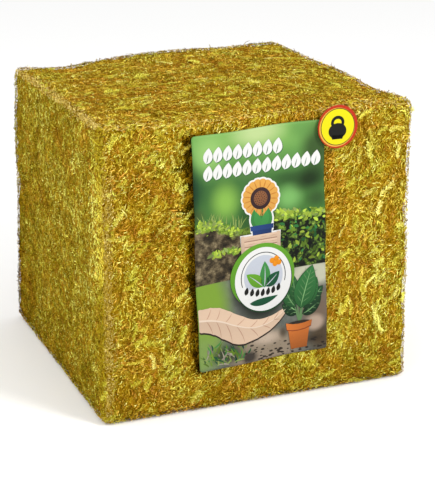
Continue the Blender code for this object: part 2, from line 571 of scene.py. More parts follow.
def moss_core_material():
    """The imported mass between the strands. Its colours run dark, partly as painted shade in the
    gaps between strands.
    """
    material, tree, shader = new_material("packed_moss", 0.9, 0.05)
    place = add_node(tree, "TexCoord", {}, "Object")
    weave = {"Scale": 460.0, "Detail": 9.0, "Roughness": 0.70, "Distortion": 1.4}
    fibres = add_node(tree, "TexNoise", {"Vector": place, **weave})
    bump = add_node(tree, "Bump", {"Height": fibres, "Strength": 0.9, "Distance": 0.0012})
    colour = colour_ramp(tree, fibres, CORE_PALETTE)
    wire(tree, shader, {"Base Color": colour, "Normal": bump})
    return material


# ---------------------------------------------------------------- the moss itself


def build_core(material):
    """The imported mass: the block's shape sunk a little, with dents and swellings."""
    bm = merged_copy("moss_block")
    mesh = bpy.data.meshes.new("moss_core")
    bm.to_mesh(mesh)
    bm.free()
    obj = link(bpy.data.objects.new("moss_core", mesh))
    remesh = obj.modifiers.new("even_cells", "REMESH")
    remesh.mode = "VOXEL"
    remesh.voxel_size = CORE_VOXEL
    graph = bpy.context.evaluated_depsgraph_get()
    fine = bpy.data.meshes.new_from_object(obj.evaluated_get(graph))
    obj.modifiers.clear()
    obj.data = fine
    fine.name = "moss_core"
    points, normals = (np.empty(len(fine.vertices) * 3, np.float32) for _ in range(2))
    fine.vertices.foreach_get("co", points)
    fine.vertices.foreach_get("normal", normals)
    points = points.reshape(-1, 3).astype(float)
    normals = normals.reshape(-1, 3).astype(float)
    rough = 0.8 * wave_field(points, 0.022, 11) + 0.7 * wave_field(points, 0.009, 12)
    rim = smooth_step(0.45, 0.75, np.sort(np.abs(normals), axis=1)[:, 1])
    depth = (CORE_SINK - CORE_ROUGH * rough) * (1.0 - 0.5 * rim)
    points -= normals * np.clip(depth, 0.0008, 0.006)[:, None]
    points[:, 2] = np.maximum(points[:, 2], 0.0)
    fine.vertices.foreach_set("co", points.astype(np.float32).ravel())
    fine.update()
    fine.materials.clear()
    fine.materials.append(material)
    fine.polygons.foreach_set("use_smooth", np.ones(len(fine.polygons), bool))
    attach(obj, "root")
    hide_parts("moss_block")


def grain_ways(roots, normals, grain, wander, spread, rng, seed):
    """The way each strand runs: the side's grain, wandering slowly, with some scatter."""
    base = along_skin(np.broadcast_to(np.array(grain, float), roots.shape), normals)
    angle = wander * wave_field(roots, 0.045, seed) + rng.normal(0.0, spread, len(roots))
    angle += np.pi * (rng.random(len(roots)) < 0.5)
    return turned(base, normals, angle)


def away_from_label(roots, normals):
    """False for roots that the card would hide."""
    across, up = label_coords(roots[:, 0], roots[:, 2])
    inside = (np.abs(across) < LABEL_WIDTH / 2 - 0.010) & (np.abs(up) < LABEL_HEIGHT / 2 - 0.010)
    return ~(inside & (normals[:, 1] < -0.5))


def blotches(name, roots):
    """Flattened pale tufts of the left side, from 0 to 1."""
    if name != "left":
        return np.zeros(len(roots))
    squeezed = roots * (1.0, 0.55, 1.0)
    return smooth_step(0.9, 1.6, wave_field(squeezed, 0.0125, 77))


def edge_highlight(heights):
    """How far the painted highlight along the front left edge shows, from 0 to 1."""
    fades_up = smooth_step(*HIGHLIGHT_FADES_ABOVE, heights)
    return smooth_step(*HIGHLIGHT_STARTS, heights) * (1 - 0.85 * fades_up)


def side_tint(name, roots):
    """Slow changes of tone and light that one side has: (tone shift, share of light)."""
    left = name == "left"
    waves = roots * (1.0, 0.60, 1.0) if left else roots
    # Painted shade: every side is darker towards its foot.
    light = 0.74 + 0.26 * smooth_step(0.0, FOOT_SHADE_HEIGHT, roots[:, 2])
    light = light * np.exp((0.10 if left else 0.03) * wave_field(waves, 0.016, 61))
    light = light * np.exp(0.05 * wave_field(roots, 0.050, 62))
    shift = (0.100 if left else 0.045) * wave_field(waves, 0.040 if left else 0.055, 63)
    tint = {"left": left_tint, "front": front_tint}.get(name)
    return tint(roots, shift, light) if tint else (shift, light)


def left_tint(roots, shift, light):
    """The left side: green in the middle, with a yellow painted highlight by its front edge, browner
    by its back, and painted shade by its back, away from its front edge and towards its foot.
    """
    height = roots[:, 2]
    from_front = roots[:, 1] - block_low.y
    from_back = block_high.y - roots[:, 1]
    # The yellow painted highlight is narrower low down.
    narrow = 1 - 0.45 * (1 - smooth_step(0.09, 0.15, height))
    yellow = 1 - smooth_step(*HIGHLIGHT_STRIP, from_front / narrow)
    yellow *= smooth_step(0.03, 0.08, height)
    low = 1 - smooth_step(0.08, 0.20, height)
    # dull is painted shade by the back edge, strongest low down; it also shifts the tone browner.
    dull = 1 - smooth_step(*BACK_SHADE_STRIP, from_back)
    brown = 1 - smooth_step(*BROWN_STRIP, from_back)
    shift = shift + 0.15 - 0.11 * yellow - (0.03 + 0.08 * low) * dull
    shift -= (0.04 + 0.12 * low) * brown
    # The brown strip is darkened too, most low down, as painted shade.
    light = light * (1 - (0.05 + 0.12 * low) * brown)
    # Then painted shade away from the front edge, the painted highlight along it, and painted shade
    # by the back edge and towards the foot.
    light *= 1.02 - 0.12 * smooth_step(0.03, 0.15, from_front)
    light *= 1 + (1.00 * edge_highlight(height) - 0.08) * yellow
    light *= 1 - (0.10 + 0.22 * low) * dull
    light *= 0.84 + 0.16 * smooth_step(0.04, 0.16, height)
    return shift, light


def front_tint(roots, shift, light):
    """The front: a painted shadow beside the card's left edge, and greener by its right edge."""
    across, up = label_coords(roots[:, 0], roots[:, 2])
    off_card = -across - LABEL_WIDTH / 2
    beside = (off_card > -0.012) & (np.abs(up) < LABEL_HEIGHT / 2 + 0.001)
    # Painted shadow of the card's left edge on the moss beside it.
    light = light * np.where(beside, 0.02 + 0.98 * smooth_step(*CARD_PAINTED_SHADOW, off_card), 1.0)
    from_right = block_high.x - roots[:, 0]
    return shift + 0.06 * (1 - smooth_step(0.006, 0.030, from_right)), light


def strand_tones(roots, grain, tone_mid, seed, rng, pale_share, rust_share):
    """Tone of each strand, and which are pale: patches, small tufts of pale moss, rusty spots."""
    grain = np.array(grain, float) / np.linalg.norm(grain)
    stretched = roots - 0.55 * (roots @ grain)[:, None] * grain
    patch = wave_field(roots, 0.024, 300 + seed)
    tuft = wave_field(stretched, 0.0080, 400 + seed)
    spots = wave_field(roots, 0.011, 500 + seed)
    n = len(roots)
    pale = (smooth_step(1.0, 1.5, tuft) * 0.70 > rng.random(n)) | (rng.random(n) < pale_share)
    rust = (smooth_step(0.65, 1.25, spots) * 0.80 > rng.random(n)) | (rng.random(n) < rust_share)
    tone = tone_mid + 0.085 * patch + 0.04 * tuft + rng.normal(0.0, 0.048, n)
    tone = np.where(rust, rng.uniform(*RUSTY_TONES, n), tone)
    tone = np.where(pale, rng.uniform(*PALE_TONES, n), tone)
    return np.clip(tone, TONE_LOW, TONE_HIGH), pale.astype(float)


def strand_light(light_mid, pale, rng, uneven=0.38):
    """Share of light of each strand: many bright or dull ones, and some in deep shade."""
    n = len(pale)
    light = light_mid * (1 + 0.08 * pale) * np.exp(rng.normal(-0.05, uneven, n))
    in_shade = rng.random(n) < SHADED_SHARE * (1 - pale)
    return light * np.where(in_shade, SHADE_LIGHT, 1.0)


def lay_kind(skin, pattern, roots, normals, ways, rng, sizes, tone, light, depth):
    """Lays one kind of strand with the usual scatter. sizes are length and half width ranges."""
    n = len(roots)
    (short, long), (slim, stout) = sizes
    length = rng.uniform(short, long, n)
    turn_inwards(skin, roots, ways, length, rng)
    # Strands sunk deeper into the skin (deep near 0) are also darkened, as painted shade.
    deep = rng.random(n)
    return lay(
        pattern,
        roots,
        normals,
        ways,
        length=length,
        width=rng.uniform(slim, stout, n),
        sink=depth * (1.0 - deep) - 0.0001,
        arch=rng.uniform(0.0, 0.0009, n),
        lift=rng.normal(0.0, 0.0006, n),
        curl=rng.normal(0.0, 0.8, n),
        roll=rng.normal(0.0, 0.6, n),
        tone=tone,
        light=np.clip(light * (0.78 + 0.30 * deep), LIGHT_LOW, LIGHT_HIGH),
    )


# The rims between two sides: how worn, how far the worn strip lies towards the first side,
# how wide it is and how light.
WORN_RIMS = (
    ("left", "top", 1.30, 0.00, 0.62, 0.53),
    ("front", "left", 1.30, 0.53, 0.40, 0.37),
    ("front", "top", 0.50, 0.00, 0.66, 0.50),
    ("front", "right", 0.70, -0.25, 0.72, 0.29),
    ("right", "top", 0.55, 0.00, 0.80, 0.30),
    ("back", "top", 0.60, 0.00, 0.80, 0.24),
)

# The skin under a worn strand faces both sides of its rim by at least this much.
RIM_FACING = 0.17

# The wear of upright rims fades between these heights, just below the rims of the top.
UPRIGHT_WEAR_ENDS = (0.205, 0.225)


def wear_off(roots, normals, tone, light, rng):
    """Gives some strands of the rims the colour and light of worn, dusty moss."""
    n = len(normals)
    facing = np.clip(normals @ OUTWARD.T, 0.0, 1.0)
    wear, dusty = np.zeros(n), np.zeros(n)
    for first, second, share, lean, wide, lightness in WORN_RIMS:
        one = facing[:, SIDE_NAMES.index(first)]
        other = facing[:, SIDE_NAMES.index(second)]
        strip = 1 - smooth_step(0.6 * wide, wide, np.abs(one - other - lean))
        if second != "top":
            strip *= 1 - 0.85 * smooth_step(*UPRIGHT_WEAR_ENDS, roots[:, 2])
        third = np.sqrt(np.clip(1 - one * one - other * other, 0.0, 1.0))
        strip *= 1 - smooth_step(0.25, 0.50, third)
        strip *= share * (np.minimum(one, other) > RIM_FACING)
        dusty = np.where(strip > wear, lightness, dusty)
        wear = np.maximum(wear, strip)
    worn = rng.random(n) < wear * 0.9
    dusty = dusty * np.exp(rng.normal(0.0, 0.10, n))
    tone = np.where(worn, rng.uniform(*WORN_TONES, n), tone)
    return tone, np.where(worn, dusty, light)


def on_front_left_edge(normals):
    return (normals[:, 0] < -0.35) & (normals[:, 1] < -0.2)


def paint_edge_highlight(roots, normals, tone, light, rng):
    """Gives the strands of the front left edge a yellow tone and a painted highlight, brightest part
    way up.
    """
    n = len(roots)
    by_edge = on_front_left_edge(normals)
    tone = np.where(by_edge, rng.uniform(*HIGHLIGHT_TONES, n), tone)
    glow = 0.34 * (1 + 1.20 * edge_highlight(roots[:, 2])) * np.exp(rng.normal(0.0, 0.12, n))
    return tone, np.where(by_edge, glow, light)


def build_side(index, skin, patterns, material):
    name, _, grain, wander, spread, density, tone_mid, light_mid, uneven, longest = SIDES[index]
    rng = np.random.default_rng(100 + index)
    chosen = skin["side"] == index
    area = skin["areas"][chosen].sum() * density
    palest = PALEST_ON_LEFT if name == "left" else TONE_HIGH

    def ground(per_area, stray, pale_share, rust_share):
        """Roots, normals, ways, tones and lights of one kind of strand."""
        roots, normals = scatter_on_skin(skin, int(per_area * area), rng, chosen)
        keep = away_from_label(roots, normals)
        roots, normals = roots[keep], normals[keep]
        n = len(roots)
        ways = grain_ways(roots, normals, grain, wander, spread * stray, rng, 200 + index)
        tone, pale = strand_tones(roots, grain, tone_mid, index, rng, pale_share, rust_share)
        blotch = blotches(name, roots) * 0.85 > rng.random(n)
        tone = np.where(blotch, rng.uniform(*BLOTCH_TONES, n), tone)
        shift, share = side_tint(name, roots)
        light = strand_light(light_mid, pale, rng, uneven) * share * (1 + 0.34 * blotch)
        tone = np.clip(tone + shift * (1 - pale), TONE_LOW, palest)
        tone, light = paint_edge_highlight(roots, normals, tone, light, rng)
        tone, light = wear_off(roots, normals, tone, light, rng)
        return roots, normals, ways, tone, light

    def lay_as(kind, strands, lengths, widths, depth):
        roots, normals, ways, tone, light = strands
        sizes = (lengths, widths)
        return lay_kind(skin, patterns[kind], roots, normals, ways, rng, sizes, tone, light, depth)

    strands = ground(FIBRES_PER_AREA, 1.1, 0.05, 0.04)
    batches = [lay_as("fibre", strands, (0.0022, longest), (0.00018, 0.00038), 0.0030)]
    roots, normals, ways, _, _ = ground(FRONDS_PER_AREA, 0.5, 1.0, 0.0)
    if name in SIDES_WITH_FRONDS:
        tone = rng.uniform(*FROND_TONES, len(roots))
        light = 0.52 * np.exp(rng.normal(0.0, 0.18, len(roots))) * side_tint(name, roots)[1]
        strands = (roots, normals, ways, tone, light)
        batches.append(lay_as("frond", strands, (0.0100, 0.0200), (0.0030, 0.0050), 0.0006))
    strand_mesh(f"moss_{name}_fibres", batches, material)

    batches = []
    for kind in ("plume_tight", "plume_open", "plume_feather"):
        strands = ground(PLUMES_PER_AREA / 3, 0.9, 0.03, 0.04)
        batches.append(lay_as(kind, strands, (0.0030, 0.0062), (0.0006, 0.0011), 0.0020))
    for kind in ("crumb", "crumb_wide"):
        strands = ground(CRUMBS_PER_AREA / 2, 3.0, 0.10, 0.10)
        batches.append(lay_as(kind, strands, (0.0010, 0.0020), (0.0006, 0.0011), 0.0012))
    strand_mesh(f"moss_{name}_plumes", batches, material)


def build_rims(skin, patterns, material):
    """Short worn strands that lie along the block's rims, dusty and pale in the middle."""
    rng = np.random.default_rng(900)
    roots, normals = scatter_on_skin(skin, RIM_FIBRES, rng, skin["rim"])
    n = len(roots)
    ways = np.zeros((n, 3))
    ways[np.arange(n), np.argmin(np.abs(normals), axis=1)] = 1.0
    angle = rng.normal(0.0, 0.40, n) * np.where(on_front_left_edge(normals), 0.4, 1.0)
    angle += np.pi * (rng.random(n) < 0.5)
    ways = turned(along_skin(ways, normals), normals, angle)
    tone, pale = strand_tones(roots, RIM_GRAIN, RIM_TONE, 7, rng, 0.06, 0.08)
    light = strand_light(0.50, pale, rng)
    tone, light = paint_edge_highlight(roots, normals, tone, light, rng)
    tone, light = wear_off(roots, normals, tone, light, rng)
    sizes = ((0.0022, 0.0050), (0.00022, 0.00042))
    rims = lay_kind(skin, patterns["fibre"], roots, normals, ways, rng, sizes, tone, light, 0.0012)
    strand_mesh("moss_rims", [rims], material)


def loose_curls(skin, pattern, count, rng, chosen):
    """Curled strands that stand off the chosen part of the skin, dark brown or pale."""
    roots, normals = scatter_on_skin(skin, count, rng, chosen)
    keep = away_from_label(roots, normals) & (roots[:, 2] > 0.02)
    roots, normals = roots[keep], normals[keep]
    n = len(roots)
    ways = grain_ways(roots, normals, LOOSE_GRAIN, 0.5, 0.7, rng, 33)
    sizes_and_bends = {
        "length": rng.uniform(0.007, 0.017, n),
        "width": rng.uniform(0.00022, 0.00038, n),
        "sink": np.full(n, 0.0008),
        "arch": rng.uniform(0.0010, 0.0036, n),
        "lift": rng.uniform(-0.0010, 0.0022, n),
        "curl": rng.normal(0.0, 1.3, n),
        "roll": rng.normal(0.0, 0.5, n),
    }
    dark = rng.random(n) < 0.55
    tone = np.where(dark, rng.uniform(0.0, 0.2, n), rng.uniform(0.4, 0.9, n))
    light = 0.42 * np.exp(rng.normal(0.0, 0.25, n))
    return lay(pattern, roots, normals, ways, tone=tone, light=light, **sizes_and_bends)


def loose_crumbs(skin, pattern, count, rng, chosen):
    """Broken bits that sit on the chosen part of the skin."""
    roots, normals = scatter_on_skin(skin, count, rng, chosen)
    n = len(roots)
    ways = grain_ways(roots, normals, LOOSE_GRAIN, 0.5, 1.5, rng, 34)
    tone, pale = strand_tones(roots, RIM_GRAIN, RIM_TONE, 8, rng, 0.06, 0.12)
    sizes_and_bends = {
        "length": rng.uniform(0.0012, 0.0030, n),
        "width": rng.uniform(0.0008, 0.0015, n),
        "sink": -rng.uniform(0.0, 0.0009, n),
        "arch": rng.uniform(0.0, 0.0010, n),
        "lift": rng.normal(0.0, 0.0006, n),
        "curl": rng.normal(0.0, 0.8, n),
        "roll": rng.normal(0.0, 1.2, n),
    }
    light = np.clip(strand_light(0.34, pale, rng), LIGHT_LOW, LIGHT_HIGH)
    return lay(pattern, roots, normals, ways, tone=tone, light=light, **sizes_and_bends)


def build_loose_bits(skin, patterns, material):
    """Curled strands and crumbs that stand off the block, most of them along the top's rims."""
    rng = np.random.default_rng(950)
    heights = skin["corners"].mean(axis=1)[:, 2]
    near_top = skin["rim"] & (heights > block_high.z - 0.025)
    over_foot = skin["rim"] & (heights > 0.03)
    curl = patterns["curl"]
    batches = [
        loose_curls(skin, curl, LOOSE_CURLS, rng, near_top),
        loose_curls(skin, curl, LOOSE_CURLS // 4, rng, skin["areas"] > 0),
        loose_crumbs(skin, patterns["crumb_wide"], 6 * LOOSE_CURLS, rng, over_foot),
    ]
    strand_mesh("moss_loose_bits", batches, material)


def build_moss():
    skin = read_skin()
    patterns = {
        "fibre": fibre_pattern(2, 0.45, 0.15),
        "curl": fibre_pattern(9, 0.8, 0.4),
        "plume_tight": plume_pattern(10, 0.30, 2.2, seed=3),
        "plume_open": plume_pattern(10, 0.60, 1.8, seed=5),
        "plume_feather": plume_pattern(10, 1.00, 1.4, seed=8),
        "frond": frond_pattern(18, 0.75, 4.0, seed=21),
        "crumb": crumb_pattern(4, seed=13),
        "crumb_wide": crumb_pattern(5, seed=17),
    }
    build_core(moss_core_material())
    material = moss_strand_material()
    for index in range(len(SIDES)):
        build_side(index, skin, patterns, material)
    build_rims(skin, patterns, material)
    build_loose_bits(skin, patterns, material)


# ---------------------------------------------------------------- the card's shape

# How far the card stands off at its left side, how far its edges wave, and its own thickness.
LABEL_BOW = 0.0022
LABEL_WAVE = 0.0007
CARD_THICKNESS = 0.0007
CARD_CORNER = 0.0008
CARD_COLUMNS = 48
CARD_ROWS = 84

# The front of the card fills this much of its map; the strip above it is for its back and edges.
MAP_WIDE = 0.98
MAP_TALL = 0.94
MAP_MIDDLE = 0.475
BACK_STRIP = 0.955

# The print's first layer stands this far off the paper, and each layer this far off the last.
FIRST_LAYER = 0.00005
LAYER = 0.00003

# The printed shapes sit a little to the right of the card's middle.
PRINT_ASIDE = 0.0026


def card_rise(across, up):
    """How far the card stands off its flat place: it bows at its sides and waves a little."""
    side = across / (LABEL_WIDTH / 2)
    bow = max(0.0, -side) ** 3 + 0.45 * max(0.0, side) ** 3
    wave = side * side * (0.5 + 0.5 * math.sin(up * 46.0 + 1.2))
    return LABEL_BOW * bow + LABEL_WAVE * wave


def eased(share):
    """A single share, from 0 to 1, that starts and ends gently."""
    return float(smooth_step(0.0, 1.0, share))


def card_slip(across, up):
    """How far the card's sides stray from straight lines: it is a little crumpled."""
    left = eased(-across / 0.060)
    right = eased(across / 0.060)
    lower = eased((0.042 - up) / 0.036)
    slip = 0.0006 * left - 0.0022 * left * lower
    return slip + 0.0004 * (left + right) * math.sin(up * 85.0 + 0.6)


def on_card(across, up, lift):
    """The point of the frame at a place on the card's back, in metres, lifted towards the front."""
    across += card_slip(across, up)
    up += 0.0006 * math.sin(across * 70.0) * eased((abs(up) - 0.080) / 0.024)
    x = LABEL_CENTRE.x + across * math.cos(LABEL_TURN) - up * math.sin(LABEL_TURN)
    z = LABEL_CENTRE.z + across * math.sin(LABEL_TURN) + up * math.cos(LABEL_TURN)
    return Vector((x, label_high.y - card_rise(across, up) - lift, z))


def on_sticker(across, up, lift):
    """The point of the frame at a place on the sticker's front, in metres."""
    lean = across * math.sin(STICKER_LEAN)
    front = STICKER_CENTRE.y - STICKER_THICKNESS / 2
    return Vector((STICKER_CENTRE.x + across, front + lean - lift, STICKER_CENTRE.z + up))


def finish_piece(name, bm, material, node):
    mesh = bpy.data.meshes.new(name)
    bm.to_mesh(mesh)
    bm.free()
    mesh.materials.append(material)
    obj = link(bpy.data.objects.new(name, mesh))
    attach(obj, "root")
    if node:
        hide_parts(node)
    return obj


def front_map(across, up):
    """Place on the map of a point of the card's front, given as shares from its middle."""
    return 0.5 + MAP_WIDE * across, MAP_MIDDLE + MAP_TALL * up


def back_map(across, up):
    """The same for its back, which lies in the strip above."""
    return 0.5 + 0.96 * across, 0.9775 + 0.025 * up


def build_card(material):
    """The bowed card, with a map of its front for the printed background."""
    bm = bmesh.new()
    bmesh.ops.create_grid(bm, x_segments=CARD_COLUMNS, y_segments=CARD_ROWS, size=0.5)
    own = bm.loops.layers.uv.new("OFBake")
    for face in bm.faces:
        for loop in face.loops:
            loop[own].uv = front_map(loop.vert.co.x, loop.vert.co.y)
    for vert in bm.verts:
        if min(abs(vert.co.x), abs(vert.co.y)) > 0.4999:
            vert.co.x -= math.copysign(CARD_CORNER / LABEL_WIDTH, vert.co.x)
            vert.co.y -= math.copysign(CARD_CORNER / LABEL_HEIGHT, vert.co.y)
    skin = bmesh.ops.extrude_face_region(bm, geom=bm.faces[:])["geom"]
    raised = {item for item in skin if isinstance(item, bmesh.types.BMVert)}
    front = {item for item in skin if isinstance(item, bmesh.types.BMFace)}
    for face in bm.faces:
        if face in front:
            continue
        at_side = any(vert in raised for vert in face.verts)
        place_on_map = front_map if at_side else back_map
        for loop in face.loops:
            loop[own].uv = place_on_map(loop.vert.co.x, loop.vert.co.y)
    for vert in bm.verts:
        lift = CARD_THICKNESS if vert in raised else 0.0
        vert.co = on_card(vert.co.x * LABEL_WIDTH, vert.co.y * LABEL_HEIGHT, lift)
    for face in bm.faces:
        face.smooth = True
    bmesh.ops.recalc_face_normals(bm, faces=bm.faces)
    return finish_piece("label_card_body", bm, material, "label_card")


# ---------------------------------------------------------------- printed shapes

INKS = {
    "white": (252, 252, 250),
    "shadow_green": (58, 112, 60),
    "straw": (238, 176, 84),
    "straw_dark": (212, 140, 58),
    "bark": (62, 42, 44),
    "seed_brown": (150, 98, 62),
    "leaf_green": (66, 146, 72),
    "deep_green": (24, 86, 56),
    "navy": (36, 64, 118),
    "sand": (240, 208, 180),
    "sand_dark": (206, 160, 134),
    "sand_pale": (248, 226, 204),
    "lime": (186, 214, 74),
    "moss_green": (122, 160, 48),
    "grass": (150, 172, 92),
    "ring_green": (104, 168, 46),
    "black": (26, 28, 24),
    "mist": (208, 214, 226),
    "orange": (246, 152, 24),
    "terracotta": (208, 116, 50),
    "terracotta_dark": (150, 72, 38),
    "plant_green": (50, 112, 58),
    "plant_light": (136, 186, 122),
    "plant_dark": (26, 60, 34),
    "soil": (50, 42, 34),
    "twig": (176, 168, 150),
    "yellow": (252, 240, 18),
    "red": (206, 58, 26),
    "amber": (250, 186, 76),
}

# Full height of a printed piece's map stands for this much light.
INK_LIGHT = 1.6

# Straight steps that a band, and each stretch of a smooth line, are drawn with.
BAND_STEPS = 40
LINE_STEPS = 5


def ink_place(ink):
    """Where an ink lies across its piece's own map."""
    return (list(INKS).index(ink) + 0.5) / len(INKS)


def new_art():
    art = bmesh.new()
    art.loops.layers.uv.new("OFBake")
    return art


def add_shape(art, outline, layer, ink, low=1.0, high=None, way=(0.0, 1.0)):
    """A flat printed shape, its outline in millimetres. Its light runs from low to high along way."""
    high = low if high is None else high
    ring = bmesh.ops.create_circle(art, segments=len(outline), radius=1.0, cap_ends=True)["verts"]
    for vert, (across, up) in zip(ring, outline, strict=True):
        vert.co = (across, up, layer)
    face = ring[0].link_faces[0]
    face.normal_update()
    if face.normal.z < 0.0:
        face.normal_flip()
    own = art.loops.layers.uv["OFBake"]
    spots = [point[0] * way[0] + point[1] * way[1] for point in outline]
    first, span = min(spots), max(max(spots) - min(spots), 1e-6)
    for loop in face.loops:
        share = (loop.vert.co.x * way[0] + loop.vert.co.y * way[1] - first) / span
        loop[own].uv = (ink_place(ink), (low + (high - low) * share) / INK_LIGHT)


def oval(across, up, wide, tall, steps=48, start=0.0, end=2 * math.pi):
    """Points round an oval, or round a part of it."""
    closed = end - start > 2 * math.pi - 1e-6
    count = steps if closed else steps + 1
    angles = [start + (end - start) * step / steps for step in range(count)]
    return [(across + wide * math.cos(a), up + tall * math.sin(a)) for a in angles]


def band(across, up, wide, tall, thick, start, end):
    """A curved strip along part of an oval."""
    outer = oval(across, up, wide, tall, BAND_STEPS, start, end)
    inner = oval(across, up, wide - thick, tall - thick, BAND_STEPS, start, end)
    return outer + inner[::-1]


def leaf(across, up, length, width, angle, bend, steps=9):
    """A pointed leaf from its foot, curving by bend."""
    right, left = [], []
    for step in range(steps + 1):
        along = step / steps
        turn = angle + bend * along
        mid = (across + length * along * math.cos(turn), up + length * along * math.sin(turn))
        half = width / 2 * math.sin(math.pi * along**0.8) ** 0.85
        side = (-math.sin(turn), math.cos(turn))
        left.append((mid[0] + half * side[0], mid[1] + half * side[1]))
        right.append((mid[0] - half * side[0], mid[1] - half * side[1]))
    return right[:-1] + left[:0:-1]


def smooth_line(points):
    """A smooth open curve through a few points."""
    result = []
    for i in range(len(points) - 1):
        a, b, c, d = (points[min(max(i + k - 1, 0), len(points) - 1)] for k in range(4))
        for step in range(LINE_STEPS):
            t = step / LINE_STEPS
            x, y = (
                0.5
                * (
                    2 * b[k]
                    + (c[k] - a[k]) * t
                    + (2 * a[k] - 5 * b[k] + 4 * c[k] - d[k]) * t**2
                    + (3 * b[k] - a[k] - 3 * c[k] + d[k]) * t**3
                )
                for k in range(2)
            )
            result.append((x, y))
    return result + [points[-1]]


def grown(outline, by):
    """The outline moved outwards by so many millimetres."""
    turn = sum(a[0] * b[1] - b[0] * a[1] for a, b in zip(outline, outline[1:] + outline[:1]))
    sign = 1.0 if turn > 0 else -1.0
    result = []
    for i, point in enumerate(outline):
        last = outline[i - 1]
        following = outline[(i + 1) % len(outline)]
        way = Vector((following[0] - last[0], following[1] - last[1]))
        if way.length < 1e-6:
            continue
        way.normalize()
        result.append((point[0] + sign * way.y * by, point[1] - sign * way.x * by))
    return result


# The two rows of leaves, in millimetres: start, end, foot and leaf length. Then the leaves' pitch
# and how they lean.
TITLE_ROWS = ((-52.6, 19.6, 79.7, 13.6), (-53.0, 53.8, 65.0, 13.4))
TITLE_PITCH = 8.9
TITLE_LEAN = 1.24


def draw_title(art):
    """Two rows of plain bold white leaves, all leaning the same way."""
    for start, end, foot, tall in TITLE_ROWS:
        count = round((end - start) / TITLE_PITCH)
        for step in range(count):
            x = start + (end - start) / count * (step + 0.30)
            shadow = leaf(x + 0.6, foot - 0.6, tall, 8.7, TITLE_LEAN, 0.12)
            add_shape(art, shadow, 2, "shadow_green")
            add_shape(art, leaf(x, foot, tall, 8.7, TITLE_LEAN, 0.12), 3, "white")
            rib = leaf(x + 0.1, foot + 0.2, tall * 0.60, 0.75, TITLE_LEAN, 0.07, 4)
            add_shape(art, rib, 4, "shadow_green")


def draw_flower(art):
    """A big straw-coloured flower in a navy pot that stands in a wooden tray, edged in white."""
    petals = []
    for step in range(144):
        angle = 2 * math.pi * step / 144
        reach = 15.6 + 1.0 * abs(math.cos(9 * angle)) ** 0.7
        petals.append((-1.8 + reach * math.cos(angle), 43.6 + reach * math.sin(angle)))
    stalk = [(-3.4, 34), (0.2, 34), (0.6, 17), (-3.8, 17)]
    leaves = (
        leaf(-2.0, 18, 17.5, 9.0, 2.62, -0.70),
        leaf(-1.0, 18, 17.0, 9.0, 0.52, 0.70),
        leaf(-2.0, 18, 15.0, 7.0, 2.10, -0.20),
        leaf(-1.0, 18, 15.0, 7.0, 1.05, 0.20),
    )
    pot = [(-10.6, 18.0), (7.8, 18.0), (5.8, 0.0), (-8.6, 0.0)]
    rim = [(-12.0, 19.6), (9.2, 19.6), (8.8, 15.4), (-11.6, 15.4)]
    tray = [(-20.8, 11.4), (15.0, 11.4), (14.2, -3.0), (-20.0, -3.0)]
    for outline in (petals, stalk, *leaves, pot, rim, tray):
        add_shape(art, grown(outline, 1.5), 5, "white")
    add_shape(art, petals, 6, "straw", 0.90, 1.06)
    for step in range(18):
        angle = math.pi * (2 * step + 1) / 18
        x, y = -1.8 + 8.5 * math.cos(angle), 43.6 + 8.5 * math.sin(angle)
        add_shape(art, leaf(x, y, 7.6, 1.0, angle, 0.0, 4), 7, "straw_dark")
    add_shape(art, stalk, 6, "leaf_green", 0.7, 1.0)
    for outline, low in zip(leaves, (0.75, 0.80, 0.95, 1.0), strict=True):
        add_shape(art, outline, 7 + low, "leaf_green", low, low + 0.25)
    add_shape(art, pot, 9, "navy", 1.10, 0.75, (1.0, 0.0))
    add_shape(art, rim, 10, "navy", 1.40, 1.00, (1.0, 0.0))
    add_shape(art, tray, 11, "sand_dark", 0.55, 0.70)
    for top in (11.4, 6.4, 1.4):
        board = [(-20.8, top), (15.0, top), (14.8, top - 4.2), (-20.6, top - 4.2)]
        add_shape(art, board, 12, "sand", 0.80, 1.00)
        for x, run in ((-16.0, 9.0), (-3.5, 7.0), (5.0, 8.0)):
            grain = leaf(x, top - 1.5 - 0.10 * run, run, 0.45, 0.0, 0.04, 3)
            add_shape(art, grain, 13, "sand_dark")
    for x in (-20.8, 12.0):
        post = [(x, 12.0), (x + 3.0, 12.0), (x + 3.0, -3.0), (x, -3.0)]
        add_shape(art, post, 14, "sand", 0.70, 0.90)
    add_shape(art, oval(-1.8, 43.2, 9.2, 9.6), 8, "bark", 0.8, 1.2)
    add_shape(art, oval(-1.8, 43.2, 6.2, 6.5), 9, "seed_brown", 0.85, 1.10)
    for turn in range(3):
        count = (6, 11, 16)[turn]
        for step in range(count):
            angle = 2 * math.pi * (step + 0.5 * turn) / count
            x = -1.8 + (1.9, 3.6, 5.3)[turn] * math.cos(angle)
            y = 43.2 + (2.0, 3.8, 5.5)[turn] * math.sin(angle)
            add_shape(art, oval(x, y, 0.5, 0.5, 6), 10, "bark")


